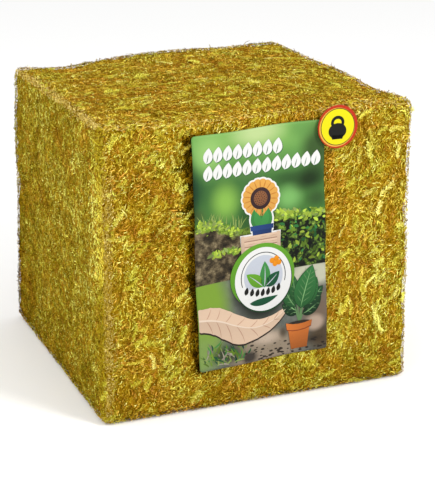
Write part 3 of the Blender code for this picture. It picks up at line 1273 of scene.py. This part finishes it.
def draw_medallion(art):
    """A white disc in a green ring, with a plain sprig over a row of seeds and one long leaf."""
    add_shape(art, oval(-1.9, -26.2, 29.4, 29.6, 72), 16, "ring_green", 0.80, 1.05)
    add_shape(art, oval(-1.2, -30.2, 26.3, 29.4, 72), 17, "plant_dark", 1.2)
    add_shape(art, oval(-1.5, -29.2, 25.9, 28.9, 72), 18, "white", 0.90, 0.98, (-0.6, 1.0))
    add_shape(art, band(-1.5, -27.0, 20.6, 22.4, 0.7, -0.30, math.pi + 0.30), 19, "black")
    sky = oval(-1.5, -26.6, 17.8, 19.2, 60, -0.55, math.pi + 0.55)
    add_shape(art, sky, 19, "mist", 0.94, 1.02)
    for x, y, length, width, angle, ink in (
        (-2.2, -36, 20, 11, 2.30, "ring_green"),
        (-1.2, -37, 24, 10, 1.42, "leaf_green"),
        (-0.2, -36, 18, 10, 0.62, "deep_green"),
    ):
        add_shape(art, leaf(x, y, length, width, angle, 0.10), 20, ink, 0.85, 1.10)
        add_shape(art, leaf(x, y, length * 0.86, 0.8, angle, 0.10, 5), 21, "mist")
    for x, y in ((6.8, -13.6), (10.8, -12.2), (9.4, -16.8), (13.0, -16.0)):
        add_shape(art, oval(x, y, 2.4, 2.5, 20), 21, "orange", 0.9, 1.1)
    for step in range(7):
        x = -18.6 + 4.9 * step
        y = -45.4 + 0.014 * (x + 3.0) ** 2 + 0.8
        add_shape(art, leaf(x, y, 7.4, 3.7, 1.15, 0.15, 7), 20, "black")
    add_shape(art, leaf(-15.0, -49.6, 26.6, 6.6, -0.10, 0.24, 12), 20, "deep_green", 0.75, 1.05)


# The dry leaf's upper edge, its ridge and its lower edge, from beyond the card's edge to the tip.
DRY_LEAF_LINES = (
    ((-61.6, -46.2), (-50, -46.4), (-40, -49.0), (-27, -57.0), (-12, -64.6), (2, -64.8), (14, -60.6)),
    ((-61.6, -56.0), (-50, -58.0), (-40, -61.4), (-28, -67.4), (-13, -72.2), (1, -70.6), (13, -64.6)),
    ((-61.6, -66.0), (-49, -70.6), (-39, -77.6), (-26, -85.0), (-12, -83.6), (3, -77.4), (14, -68.4)),
)
DRY_LEAF_TIP = (24, -55.6)


def draw_dry_leaf(art):
    """A big pale dry leaf that lies across the ground, its foot beyond the card's edge."""
    top, ridge, low = (smooth_line((*line, DRY_LEAF_TIP)) for line in DRY_LEAF_LINES)
    count = len(ridge)
    edges = []
    for side, line in ((1.0, top), (-1.0, low)):
        edge = []
        for i, (x, y) in enumerate(line):
            edge.append((x, y + side * 0.55 * (i % 4 == 1) * (1.0 - i / count)))
        edges.append(edge)
    add_shape(art, [(x, y - 1.6) for x, y in edges[0] + edges[1][-2::-1]], 4, "soil")
    add_shape(art, edges[0] + ridge[-2::-1], 5, "sand", 1.02, 0.94)
    add_shape(art, ridge + edges[1][-2::-1], 5, "sand", 0.92, 0.80, (0.0, 1.0))
    for i in range(3, count - 6, 4):
        for edge, turn in ((edges[0], 1.0), (edges[1], -1.0)):
            x, y = ridge[i]
            reach = edge[min(i + 3, count - 2)]
            length = 0.94 * math.hypot(reach[0] - x, reach[1] - y)
            angle = math.atan2(reach[1] - y, reach[0] - x)
            vein = leaf(x, y, length, 0.65, angle - 0.12 * turn, 0.24 * turn, 5)
            add_shape(art, vein, 6, "sand_dark", 0.95 if turn > 0 else 0.80)
    width = [0.75 * (1.0 - i / count) + 0.12 for i in range(count)]
    over = [(x, y + w) for (x, y), w in zip(ridge, width, strict=True)]
    under = [(x, y - w) for (x, y), w in zip(ridge, width, strict=True)]
    add_shape(art, over + under[::-1], 7, "sand_pale")


# Leaves of the potted plant, from back to front: foot, length, width, angle, bend, ink and light.
POT_LEAVES = (
    (29, -66, 17, 8, 3.00, -0.50, "plant_dark", 0.9),
    (34, -68, 22, 10, 0.30, 0.35, "plant_dark", 0.9),
    (28, -64, 19, 9, 2.55, -0.40, "plant_dark", 1.3),
    (34, -62, 26, 13, 0.62, 0.10, "plant_dark", 1.4),
    (27, -60, 24, 11, 2.20, -0.20, "plant_green", 0.8),
    (29, -56, 26, 10, 1.78, -0.10, "plant_green", 0.7),
    (34, -60, 28, 14, 0.88, 0.15, "plant_green", 0.9),
    (32, -62, 40, 20, 1.30, -0.05, "plant_green", 1.0),
)

# The leaves are cut off at the card's right edge, and their stalks meet in the pot's soil.
POT_LEAF_LIMIT = 56.5
STALKS_MEET = (30.5, -76)


def draw_pot_leaf(art, layer, x, y, length, width, angle, bend, ink, light):
    """One broad leaf with its stalk, its midrib and its side veins."""

    def trimmed(shape):
        return [(min(px, POT_LEAF_LIMIT), py) for px, py in shape]

    stalk_x, stalk_y = STALKS_MEET
    span = math.hypot(x - stalk_x, y - stalk_y)
    stalk_angle = math.atan2(y - stalk_y, x - stalk_x)
    stalk = leaf(stalk_x, stalk_y, span * 1.3, 1.3, stalk_angle, 0.0, 4)
    add_shape(art, stalk, layer - 0.4, "plant_light", 0.55)
    blade = trimmed(leaf(x, y, length, width, angle, bend, 12))
    add_shape(art, grown(blade, 0.35), layer - 0.2, "plant_dark", 0.6)
    add_shape(art, blade, layer, ink, 0.70 * light, 1.30 * light)
    midrib = leaf(x, y, length * 0.94, 0.9, angle, bend * 0.94, 6)
    add_shape(art, trimmed(midrib), layer + 0.5, "plant_light", light)
    count = max(4, round(length / 5.5))
    for step in range(1, count):
        turn = angle + bend * step / count
        along = length * 0.9 * step / count
        foot = (x + along * math.cos(turn), y + along * math.sin(turn))
        for side in (-0.80, 0.80):
            vein = leaf(*foot, width * 0.44, 0.5, turn + side, 0.0, 3)
            add_shape(art, trimmed(vein), layer + 0.6, "plant_light", 0.65 * light)


def draw_pot_plant(art):
    """A clay pot with broad dark leaves on stalks."""
    for order, pot_leaf in enumerate(POT_LEAVES):
        draw_pot_leaf(art, 6 + order, *pot_leaf)
    add_shape(art, oval(30.2, -76.0, 11.6, 2.4, 32), 13.8, "soil")
    body = [(20.0, -80), (40.4, -79.5), (37.6, -99.5), (22.4, -99.8)]
    add_shape(art, body, 14, "terracotta", 0.55, 1.08, (-0.25, 1.0))
    rim = [(18.0, -74.2), (24, -76.0), (30, -76.6), (36, -76.2), (42.6, -74.6)]
    rim += [(41.8, -79.8), (36, -81.5), (30, -82.1), (24, -81.7), (18.8, -80.3)]
    shadow = [(x, y - 0.9) for x, y in rim]
    add_shape(art, shadow, 14.5, "terracotta_dark", 1.0, 0.7, (1.0, 0.0))
    add_shape(art, rim, 15, "terracotta", 1.22, 0.80, (1.0, 0.0))


def draw_growth(art, rng):
    """Small leaves and blades of grass that grow along the bank and in the corners."""

    def inside(shape):
        return [(min(max(x, -61.4), 56.6), max(y, -103.6)) for x, y in shape]

    for _ in range(34):
        x = rng.uniform(-57, -20)
        base = 27 - 0.22 * (x + 57)
        blade = leaf(x, base, rng.uniform(6, 15), 0.7, rng.normal(1.55, 0.25), rng.normal(0, 0.2), 5)
        add_shape(art, inside(blade), 1, "grass")
    for x0, x1, up0, up1, drop, count, size in (
        (-60, -38, 29.5, 28.0, 3.2, 90, 3.2),
        (-38, -20, 25.0, 16.5, 1.8, 50, 3.0),
        (14, 36, 29.0, 26.0, 2.6, 60, 4.2),
        (36, 58, 22.0, 24.0, 2.2, 34, 4.0),
        (-46, -20, 1.0, 2.5, 2.4, 50, 4.4),
    ):
        for _ in range(count):
            share = rng.random()
            x = x0 + (x1 - x0) * share
            y = up0 + (up1 - up0) * share - abs(rng.normal(0.0, drop))
            ink = ("lime", "moss_green", "lime", "grass")[rng.integers(4)]
            length = size * rng.uniform(0.6, 1.5)
            shape = leaf(x, y, length, length * 0.5, rng.uniform(-0.4, 3.5), 0.3, 4)
            add_shape(art, inside(shape), 1 + rng.random(), ink, rng.uniform(0.6, 1.25))
    for _ in range(190):
        x, y = rng.uniform(14, 58), rng.uniform(-22, 25)
        clump = 0.5 + 0.5 * math.sin(x * 0.42 + 0.6) * math.sin(y * 0.36 + 1.2)
        if clump < rng.random() * 0.9:
            continue
        ink = ("moss_green", "lime", "moss_green", "leaf_green")[rng.integers(4)]
        length = rng.uniform(2.4, 6.5)
        light = rng.uniform(0.35, 1.25) * (1.0 if y > 8 else 0.72)
        shape = leaf(x, y, length, length * 0.48, rng.uniform(0.0, 3.1), 0.3, 4)
        add_shape(art, inside(shape), 1 + rng.random(), ink, light)
    for _ in range(70):
        x, y = rng.uniform(-58, -18), -102 + abs(rng.normal(0, 11))
        ink = ("moss_green", "grass", "leaf_green", "deep_green", "twig")[rng.integers(5)]
        shape = leaf(x, y, rng.uniform(5, 13), rng.uniform(0.5, 1.8), rng.normal(1.5, 0.6), 0.4, 5)
        add_shape(art, inside(shape), 1 + rng.random(), ink, rng.uniform(0.5, 1.0))
    for _ in range(70):
        x, y = rng.uniform(-20, 57), -103 + abs(rng.normal(0, 9))
        wide = rng.uniform(0.4, 2.2)
        add_shape(art, inside(oval(x, y, wide, wide * 0.5, 8)), 1, "soil", rng.uniform(0.6, 1.8))


def lay_art(art, place, base_lift, aside=0.0):
    """Cuts the flat shapes small enough to follow the card, and lays them on it."""
    bmesh.ops.triangulate(art, faces=art.faces, ngon_method="EAR_CLIP")
    cuts = [((6.0 * step, 0, 0), (1, 0, 0)) for step in range(-9, 10)]
    cuts += [((0, 13.0 * step, 0), (0, 1, 0)) for step in range(-8, 9)]
    for spot, way in cuts:
        geom = art.verts[:] + art.edges[:] + art.faces[:]
        bmesh.ops.bisect_plane(art, geom=geom, plane_co=spot, plane_no=way, dist=1e-5)
    for vert in art.verts:
        across, up, layer = vert.co
        vert.co = place(across / 1000 + aside, up / 1000, base_lift + FIRST_LAYER + LAYER * layer)
    art.normal_update()
    for face in art.faces:
        if face.normal.y > 0.0:
            face.normal_flip()


def build_label_print(material):
    art = new_art()
    rng = np.random.default_rng(41)
    draw_growth(art, rng)
    draw_title(art)
    draw_dry_leaf(art)
    draw_pot_plant(art)
    draw_flower(art)
    draw_medallion(art)
    lay_art(art, on_card, CARD_THICKNESS, PRINT_ASIDE)
    return finish_piece("label_print", art, material, None)


def sticker_disc():
    """The sticker's body: a thin disc with a rounded front rim, all in its red ink."""
    bm = new_art()
    bmesh.ops.create_cone(
        bm,
        cap_ends=True,
        segments=STICKER_STEPS,
        radius1=STICKER_RADIUS,
        radius2=STICKER_RADIUS,
        depth=STICKER_THICKNESS,
        matrix=Matrix.Rotation(math.radians(90.0), 4, "X"),
    )
    front = [edge for edge in bm.edges if all(vert.co.y < 0.0 for vert in edge.verts)]
    bmesh.ops.bevel(
        bm,
        geom=front,
        affect="EDGES",
        offset=STICKER_RIM,
        segments=3,
        profile=0.5,
        material=-1,
    )
    lean = Matrix.Rotation(STICKER_LEAN, 4, "Z")
    bmesh.ops.transform(bm, matrix=Matrix.Translation(STICKER_CENTRE) @ lean, verts=bm.verts)
    own = bm.loops.layers.uv["OFBake"]
    for face in bm.faces:
        face.smooth = len(face.verts) == 4
        for loop in face.loops:
            loop[own].uv = (ink_place("red"), 1.0 / INK_LIGHT)
    return bm


def draw_weight_mark(art):
    """The sticker's printed rings and a plain weight with its handle, in millimetres."""
    add_shape(art, oval(-0.95, -0.35, 16.7, 16.7, 96), 1, "amber")
    add_shape(art, oval(-0.35, 0.0, 15.9, 15.9, 96), 2, "black")
    add_shape(art, oval(-0.35, 0.0, 15.3, 15.3, 96), 3, "yellow")
    add_shape(art, band(-0.6, 3.6, 6.3, 5.9, 2.7, -0.55, math.pi + 0.55), 4, "black")
    add_shape(art, oval(-0.6, -3.6, 8.4, 6.8, 44), 5, "black")
    add_shape(art, [(-5.4, -10.6), (4.2, -10.6), (5.2, -7.0), (-6.4, -7.0)], 5, "black")


def build_sticker(material):
    """The round sticker: its disc and its print, as one piece."""
    art = new_art()
    draw_weight_mark(art)
    lay_art(art, on_sticker, 0.0)
    print_mesh = bpy.data.meshes.new("sticker_art")
    art.to_mesh(print_mesh)
    art.free()
    bm = sticker_disc()
    bm.from_mesh(print_mesh)
    return finish_piece("sticker_body", bm, material, "round_sticker")


# ---------------------------------------------------------------- printed materials

# How much a printed colour is darkened so that the studio's light gives it back as it is named.
PRINT_SHARE = 0.60


def ink_colour(red, green, blue):
    """A printed colour, named as it looks, as the shader takes it."""
    parts = []
    for part in (red, green, blue):
        share = part / 255
        part = share / 12.92 if share <= 0.04045 else ((share + 0.055) / 1.055) ** 2.4
        parts.append(part * PRINT_SHARE)
    return tuple(parts)


def new_group(name, inputs, outputs):
    """An empty node group with named sockets, the values given to it, and its result."""
    group = bpy.data.node_groups.new(name, "ShaderNodeTree")
    for way, sockets in (("INPUT", inputs), ("OUTPUT", outputs)):
        for socket, kind in sockets.items():
            group.interface.new_socket(socket, in_out=way, socket_type=f"NodeSocket{kind}")
    given = group.nodes.new("NodeGroupInput")
    return group, given.outputs, group.nodes.new("NodeGroupOutput")


def paper_grain_group():
    """Fine grain of coated paper: its roughness and its normal."""
    results = {"Roughness": "Float", "Normal": "Vector"}
    group, given, result = new_group("paper_grain", {"Place": "Vector"}, results)
    grain = add_node(group, "TexNoise", {"Vector": given["Place"], "Scale": 900.0, "Detail": 3.0})
    rough = add_node(group, "MapRange", {"Value": grain, "To Min": 0.36, "To Max": 0.52})
    bump = add_node(group, "Bump", {"Height": grain, "Strength": 0.10, "Distance": 0.0002})
    wire(group, result, {"Roughness": rough, "Normal": bump})
    return group


def paper_material(name, grain):
    """A material of coated paper, still without its colour."""
    material, tree, shader = new_material(name, 0.42, 0.12)
    place = add_node(tree, "TexCoord", {}, "Object")
    for result in ("Roughness", "Normal"):
        finish = add_node(tree, "Group", {"Place": place}, result, node_tree=grain)
        wire(tree, shader, {result: finish})
    return material, tree, shader


def print_material(grain):
    """Flat inks chosen by the piece's own map, with their light up the map."""
    material, tree, shader = paper_material("printed_inks", grain)
    tone, light = first_two(tree, own_map(tree))
    stops = [(i / len(INKS), ink_colour(*parts)) for i, parts in enumerate(INKS.values())]
    colour = colour_ramp(tree, tone, stops, "CONSTANT")
    lit = add_node(tree, "Math", {0: light, 1: INK_LIGHT}, operation="MULTIPLY")
    shade = add_node(tree, "VectorMath", {0: colour, "Scale": lit}, operation="SCALE")
    wire(tree, shader, {"Base Color": shade})
    return material


def soft_spot_group():
    """A soft oval mask: as strong as it is told inside, 0 outside."""
    sockets = {name: "Vector" for name in ("Place", "Centre", "Reach")}
    sockets |= {name: "Float" for name in ("Softness", "Strength")}
    group, given, result = new_group("soft_spot", sockets, {"Mask": "Float"})
    sides = {0: given["Place"], 1: given["Centre"]}
    away = add_node(group, "VectorMath", sides, operation="SUBTRACT")
    share = add_node(group, "VectorMath", {0: away, 1: given["Reach"]}, operation="DIVIDE")
    far = add_node(group, "VectorMath", {0: share}, "Value", operation="LENGTH")
    inner = add_node(group, "Math", {0: 1.0, 1: given["Softness"]}, operation="SUBTRACT")
    ends = {"Value": far, "From Min": inner, "From Max": 1.0, "To Min": 1.0, "To Max": 0.0}
    soft = add_node(group, "MapRange", ends, interpolation_type="SMOOTHSTEP")
    mask = add_node(group, "Math", {0: soft, 1: given["Strength"]}, operation="MULTIPLY")
    wire(group, result, {"Mask": mask})
    return group


# Soft spots of colour: centre and reach in millimetres, softness, strength, colour.
SKY_SPOTS = (
    ((0, 100), (70, 24), 0.9, 1.0, (146, 198, 104)),
    ((0, 100), (33, 17), 0.9, 0.95, (206, 230, 160)),
    ((-44, 88), (22, 24), 0.9, 0.9, (164, 214, 122)),
    ((52, 78), (20, 34), 0.8, 0.9, (58, 84, 42)),
    ((38, 98), (16, 14), 0.9, 0.6, (100, 156, 78)),
    ((-62, 58), (20, 28), 0.9, 1.0, (30, 76, 44)),
    ((-31, 45), (18, 23), 0.9, 1.0, (144, 196, 84)),
    ((26, 57), (18, 9), 0.9, 0.7, (50, 86, 42)),
    ((-10, 66), (16, 10), 0.9, 0.5, (86, 122, 72)),
    ((27, 40), (18, 16), 0.9, 1.0, (130, 192, 106)),
    ((46, 54), (22, 15), 0.9, 1.0, (32, 56, 24)),
    ((52, 36), (14, 12), 0.9, 0.7, (50, 76, 40)),
    ((-8, 30), (18, 14), 0.9, 0.7, (56, 112, 56)),
    ((-58, 36), (12, 10), 0.9, 0.8, (74, 96, 50)),
)
GROUND_SPOTS = (
    ((46, -32), (34, 16), 0.6, 1.0, (204, 204, 180)),
    ((50, -66), (24, 28), 0.8, 1.0, (122, 104, 88)),
    ((56, -92), (28, 22), 0.8, 1.0, (82, 68, 50)),
    ((-2, -62), (28, 14), 0.9, 0.9, (74, 80, 72)),
    ((0, -98), (42, 28), 0.5, 1.0, (156, 140, 120)),
    ((2, -84), (20, 9), 0.9, 1.0, (204, 184, 164)),
    ((18, -82), (6, 8), 0.9, 0.8, (70, 58, 42)),
    ((-86, -46), (64, 66), 0.30, 1.0, (132, 170, 58)),
    ((-60, -88), (32, 26), 0.7, 1.0, (134, 164, 84)),
    ((-34, -92), (22, 13), 0.8, 0.95, (52, 64, 40)),
    ((-14, -99), (10, 8), 0.7, 0.9, (44, 40, 38)),
)
LAST_SPOTS = (
    ((-1, -37), (32, 33), 0.35, 0.80, (22, 28, 18)),
    ((-2, 22), (23, 36), 0.5, 0.45, (22, 44, 22)),
    ((-59, 56), (6, 42), 0.9, 0.5, (22, 52, 34)),
    ((48, -78), (12, 10), 0.6, 0.85, (198, 174, 154)),
    ((46, -93), (16, 5), 0.9, 0.55, (44, 34, 24)),
    ((48, 3), (15, 8), 0.8, 0.75, (16, 24, 10)),
    ((47, -16), (14, 5), 0.8, 0.65, (18, 22, 10)),
    ((36, 12), (12, 4), 0.8, 0.45, (26, 40, 14)),
    ((-18, -7), (9, 6), 0.8, 0.80, (22, 22, 14)),
    ((-46, 14), (9, 4), 0.8, 0.60, (40, 38, 26)),
    ((-54, 20), (7, 3), 0.8, 0.45, (150, 132, 100)),
)


# Colours along the printed grounds: the sky by height, the others by their grain.
SKY = ((0.0, (76, 128, 58)), (0.5, (72, 122, 60)), (1.0, (120, 180, 90)))
SOIL = ((0.36, (18, 15, 10)), (0.47, (64, 54, 36)), (0.56, (118, 104, 76)), (0.68, (190, 174, 136)))
FOLIAGE = ((0.42, (8, 12, 6)), (0.52, (32, 46, 18)), (0.62, (96, 128, 44)), (0.74, (172, 200, 88)))
FRINGE = ((0.38, (74, 98, 28)), (0.52, (140, 174, 52)), (0.66, (204, 224, 104)))
STONY_FLOOR = ((0.3, (92, 96, 90)), (0.7, (122, 126, 118)))
LOOSE_GRIT = (70, 58, 48)
CARD_BACK = (208, 205, 196)

# Heights on the card, in millimetres: the top of the bank, and where the floor begins.
BANK_TOP = 22.0
FLOOR_TOP = -24.3


def label_background_material(grain):
    """The card's printed background: a blurred green wood, a mossy bank and a potting place."""
    material, tree, shader = paper_material("label_background", grain)
    spot_group = soft_spot_group()
    own = own_map(tree)
    wide = 1000 * LABEL_WIDTH / MAP_WIDE
    tall = 1000 * LABEL_HEIGHT / MAP_TALL
    shift = (-0.5 * wide, -MAP_MIDDLE * tall, 0.0)
    to_millimetres = {0: own, 1: (wide, tall, 0.0), 2: shift}
    place = add_node(tree, "VectorMath", to_millimetres, operation="MULTIPLY_ADD")
    across, up = first_two(tree, place)

    def noise(scale, detail, roughness=0.5):
        kind = {"Scale": scale, "Detail": detail, "Roughness": roughness}
        return add_node(tree, "TexNoise", {"Vector": place, **kind})

    def combine(operation, first, second):
        return add_node(tree, "Math", {0: first, 1: second}, operation=operation)

    def fade(value, low, high):
        ends = {"Value": value, "From Min": low, "From Max": high}
        return add_node(tree, "MapRange", ends, interpolation_type="SMOOTHSTEP")

    def colours(value, stops):
        return colour_ramp(tree, value, [(at, ink_colour(*parts)) for at, parts in stops])

    def mix(mask, under, over):
        sides = {6: under, 7: over}
        for key, side in sides.items():
            if isinstance(side, tuple):
                sides[key] = (*ink_colour(*side), 1.0)
        return add_node(tree, "Mix", {0: mask, **sides}, 2, data_type="RGBA")

    def paint(colour, spots):
        for centre, reach, softness, strength, over in spots:
            spot = {"Place": place, "Centre": (*centre, 0.0), "Reach": (*reach, 1.0)}
            spot |= {"Softness": softness, "Strength": strength}
            colour = mix(add_node(tree, "Group", spot, node_tree=spot_group), colour, over)
        return colour

    sky = paint(colours(fade(up, 20.0, 100.0), SKY), SKY_SPOTS)

    coarse, fine = noise(0.085, 7.0, 0.70), noise(0.32, 5.0, 0.7)
    clumps = combine("MULTIPLY", combine("SUBTRACT", noise(0.11, 3.0), 0.5), 0.9)
    leaves = colours(combine("ADD", fine, clumps), FOLIAGE)
    bank = mix(fade(across, 2.0, 16.0), colours(coarse, SOIL), leaves)
    wobble = combine("MULTIPLY", noise(0.10, 4.0), 12.0)
    fall = combine("MULTIPLY", fade(across, -46.0, -24.0), -9.0)
    slope = combine("ADD", fall, combine("MULTIPLY", fade(across, -10.0, 16.0), 8.0))
    crest = combine("ADD", combine("ADD", slope, wobble), BANK_TOP)
    depth = combine("SUBTRACT", crest, up)
    bank = mix(fade(depth, 7.0, 3.5), bank, colours(fine, FRINGE))
    upper = mix(fade(depth, -0.6, 0.6), sky, bank)

    ground = paint(colours(coarse, STONY_FLOOR), GROUND_SPOTS)
    gritty = combine("MULTIPLY", fade(noise(0.5, 6.0, 0.7), 0.60, 0.68), fade(up, -78.0, -86.0))
    ground = mix(gritty, ground, LOOSE_GRIT)
    floor_line = combine("ADD", combine("MULTIPLY", across, 0.01), FLOOR_TOP)
    colour = mix(fade(combine("SUBTRACT", up, floor_line), 0.3, -0.3), upper, ground)
    colour = paint(colour, LAST_SPOTS)
    on_back = fade(first_two(tree, own)[1], BACK_STRIP - 0.002, BACK_STRIP + 0.002)
    wire(tree, shader, {"Base Color": mix(on_back, colour, CARD_BACK)})
    return material


def build_label():
    grain = paper_grain_group()
    inks = print_material(grain)
    build_card(label_background_material(grain))
    build_label_print(inks)
    build_sticker(inks)


# ---------------------------------------------------------------- studio


ROOM_LIGHT = 0.95
FLOOR_COLOUR = (0.96, 0.96, 0.955, 1.0)

# The two lights: name, place, size, power and colour. Both look at one point.
LIGHTS = (
    ("key", (0.75, -1.25, 1.15), 0.5, 18.0, (1.0, 0.985, 0.96)),
    ("fill", (-1.6, -0.4, 0.9), 1.2, 12.0, (1.0, 1.0, 1.0)),
)
LIGHTS_AIM = Vector((0.0, 0.0, 0.12))

# The camera: its distance from the point it looks at, and its angles round it and above it.
CAMERA_BACK = 1.2659
CAMERA_TURN = math.radians(-21.522)
CAMERA_RISE = math.radians(18.710)
CAMERA_AIM = Vector((0.01627, 0.0, 0.09770))
CAMERA_LENS = 96.48


def build_floor():
    bm = bmesh.new()
    bmesh.ops.create_grid(bm, x_segments=1, y_segments=1, size=9.0)
    mesh = bpy.data.meshes.new("studio_floor")
    bm.to_mesh(mesh)
    bm.free()
    floor = link(bpy.data.objects.new("studio_floor", mesh))
    paper, tree, shader = new_material("pale_paper", 0.9, 0.0)
    wire(tree, shader, {"Base Color": FLOOR_COLOUR})
    mesh.materials.append(paper)


def build_lights():
    """A white room and two soft round lights."""
    world = bpy.data.worlds.new("soft_room")
    bpy.context.scene.world = world
    world.use_nodes = True
    glow = {"Color": (1.0, 1.0, 1.0, 1.0), "Strength": ROOM_LIGHT}
    wire(world.node_tree, world.node_tree.nodes["Background"], glow)
    for name, place, size, power, colour in LIGHTS:
        data = bpy.data.lights.new(name, "AREA")
        data.shape = "DISK"
        data.size = size
        data.energy = power
        data.color = colour
        light = link(bpy.data.objects.new(name, data))
        light.location = place
        light.rotation_euler = (LIGHTS_AIM - Vector(place)).to_track_quat("-Z", "Y").to_euler()


def build_camera():
    level = math.cos(CAMERA_RISE)
    away = (math.sin(CAMERA_TURN) * level, -math.cos(CAMERA_TURN) * level, math.sin(CAMERA_RISE))
    back = Vector(away)
    data = bpy.data.cameras.new("camera")
    data.lens = CAMERA_LENS
    camera = link(bpy.data.objects.new("camera", data))
    camera.location = CAMERA_AIM + back * CAMERA_BACK
    camera.rotation_mode = "QUATERNION"
    camera.rotation_quaternion = (-back).to_track_quat("-Z", "Y")
    bpy.context.scene.camera = camera
    bpy.context.scene.view_settings.view_transform = "Standard"
    bpy.context.scene.view_settings.look = "None"


build_floor()
build_lights()
build_camera()
build_moss()
build_label()
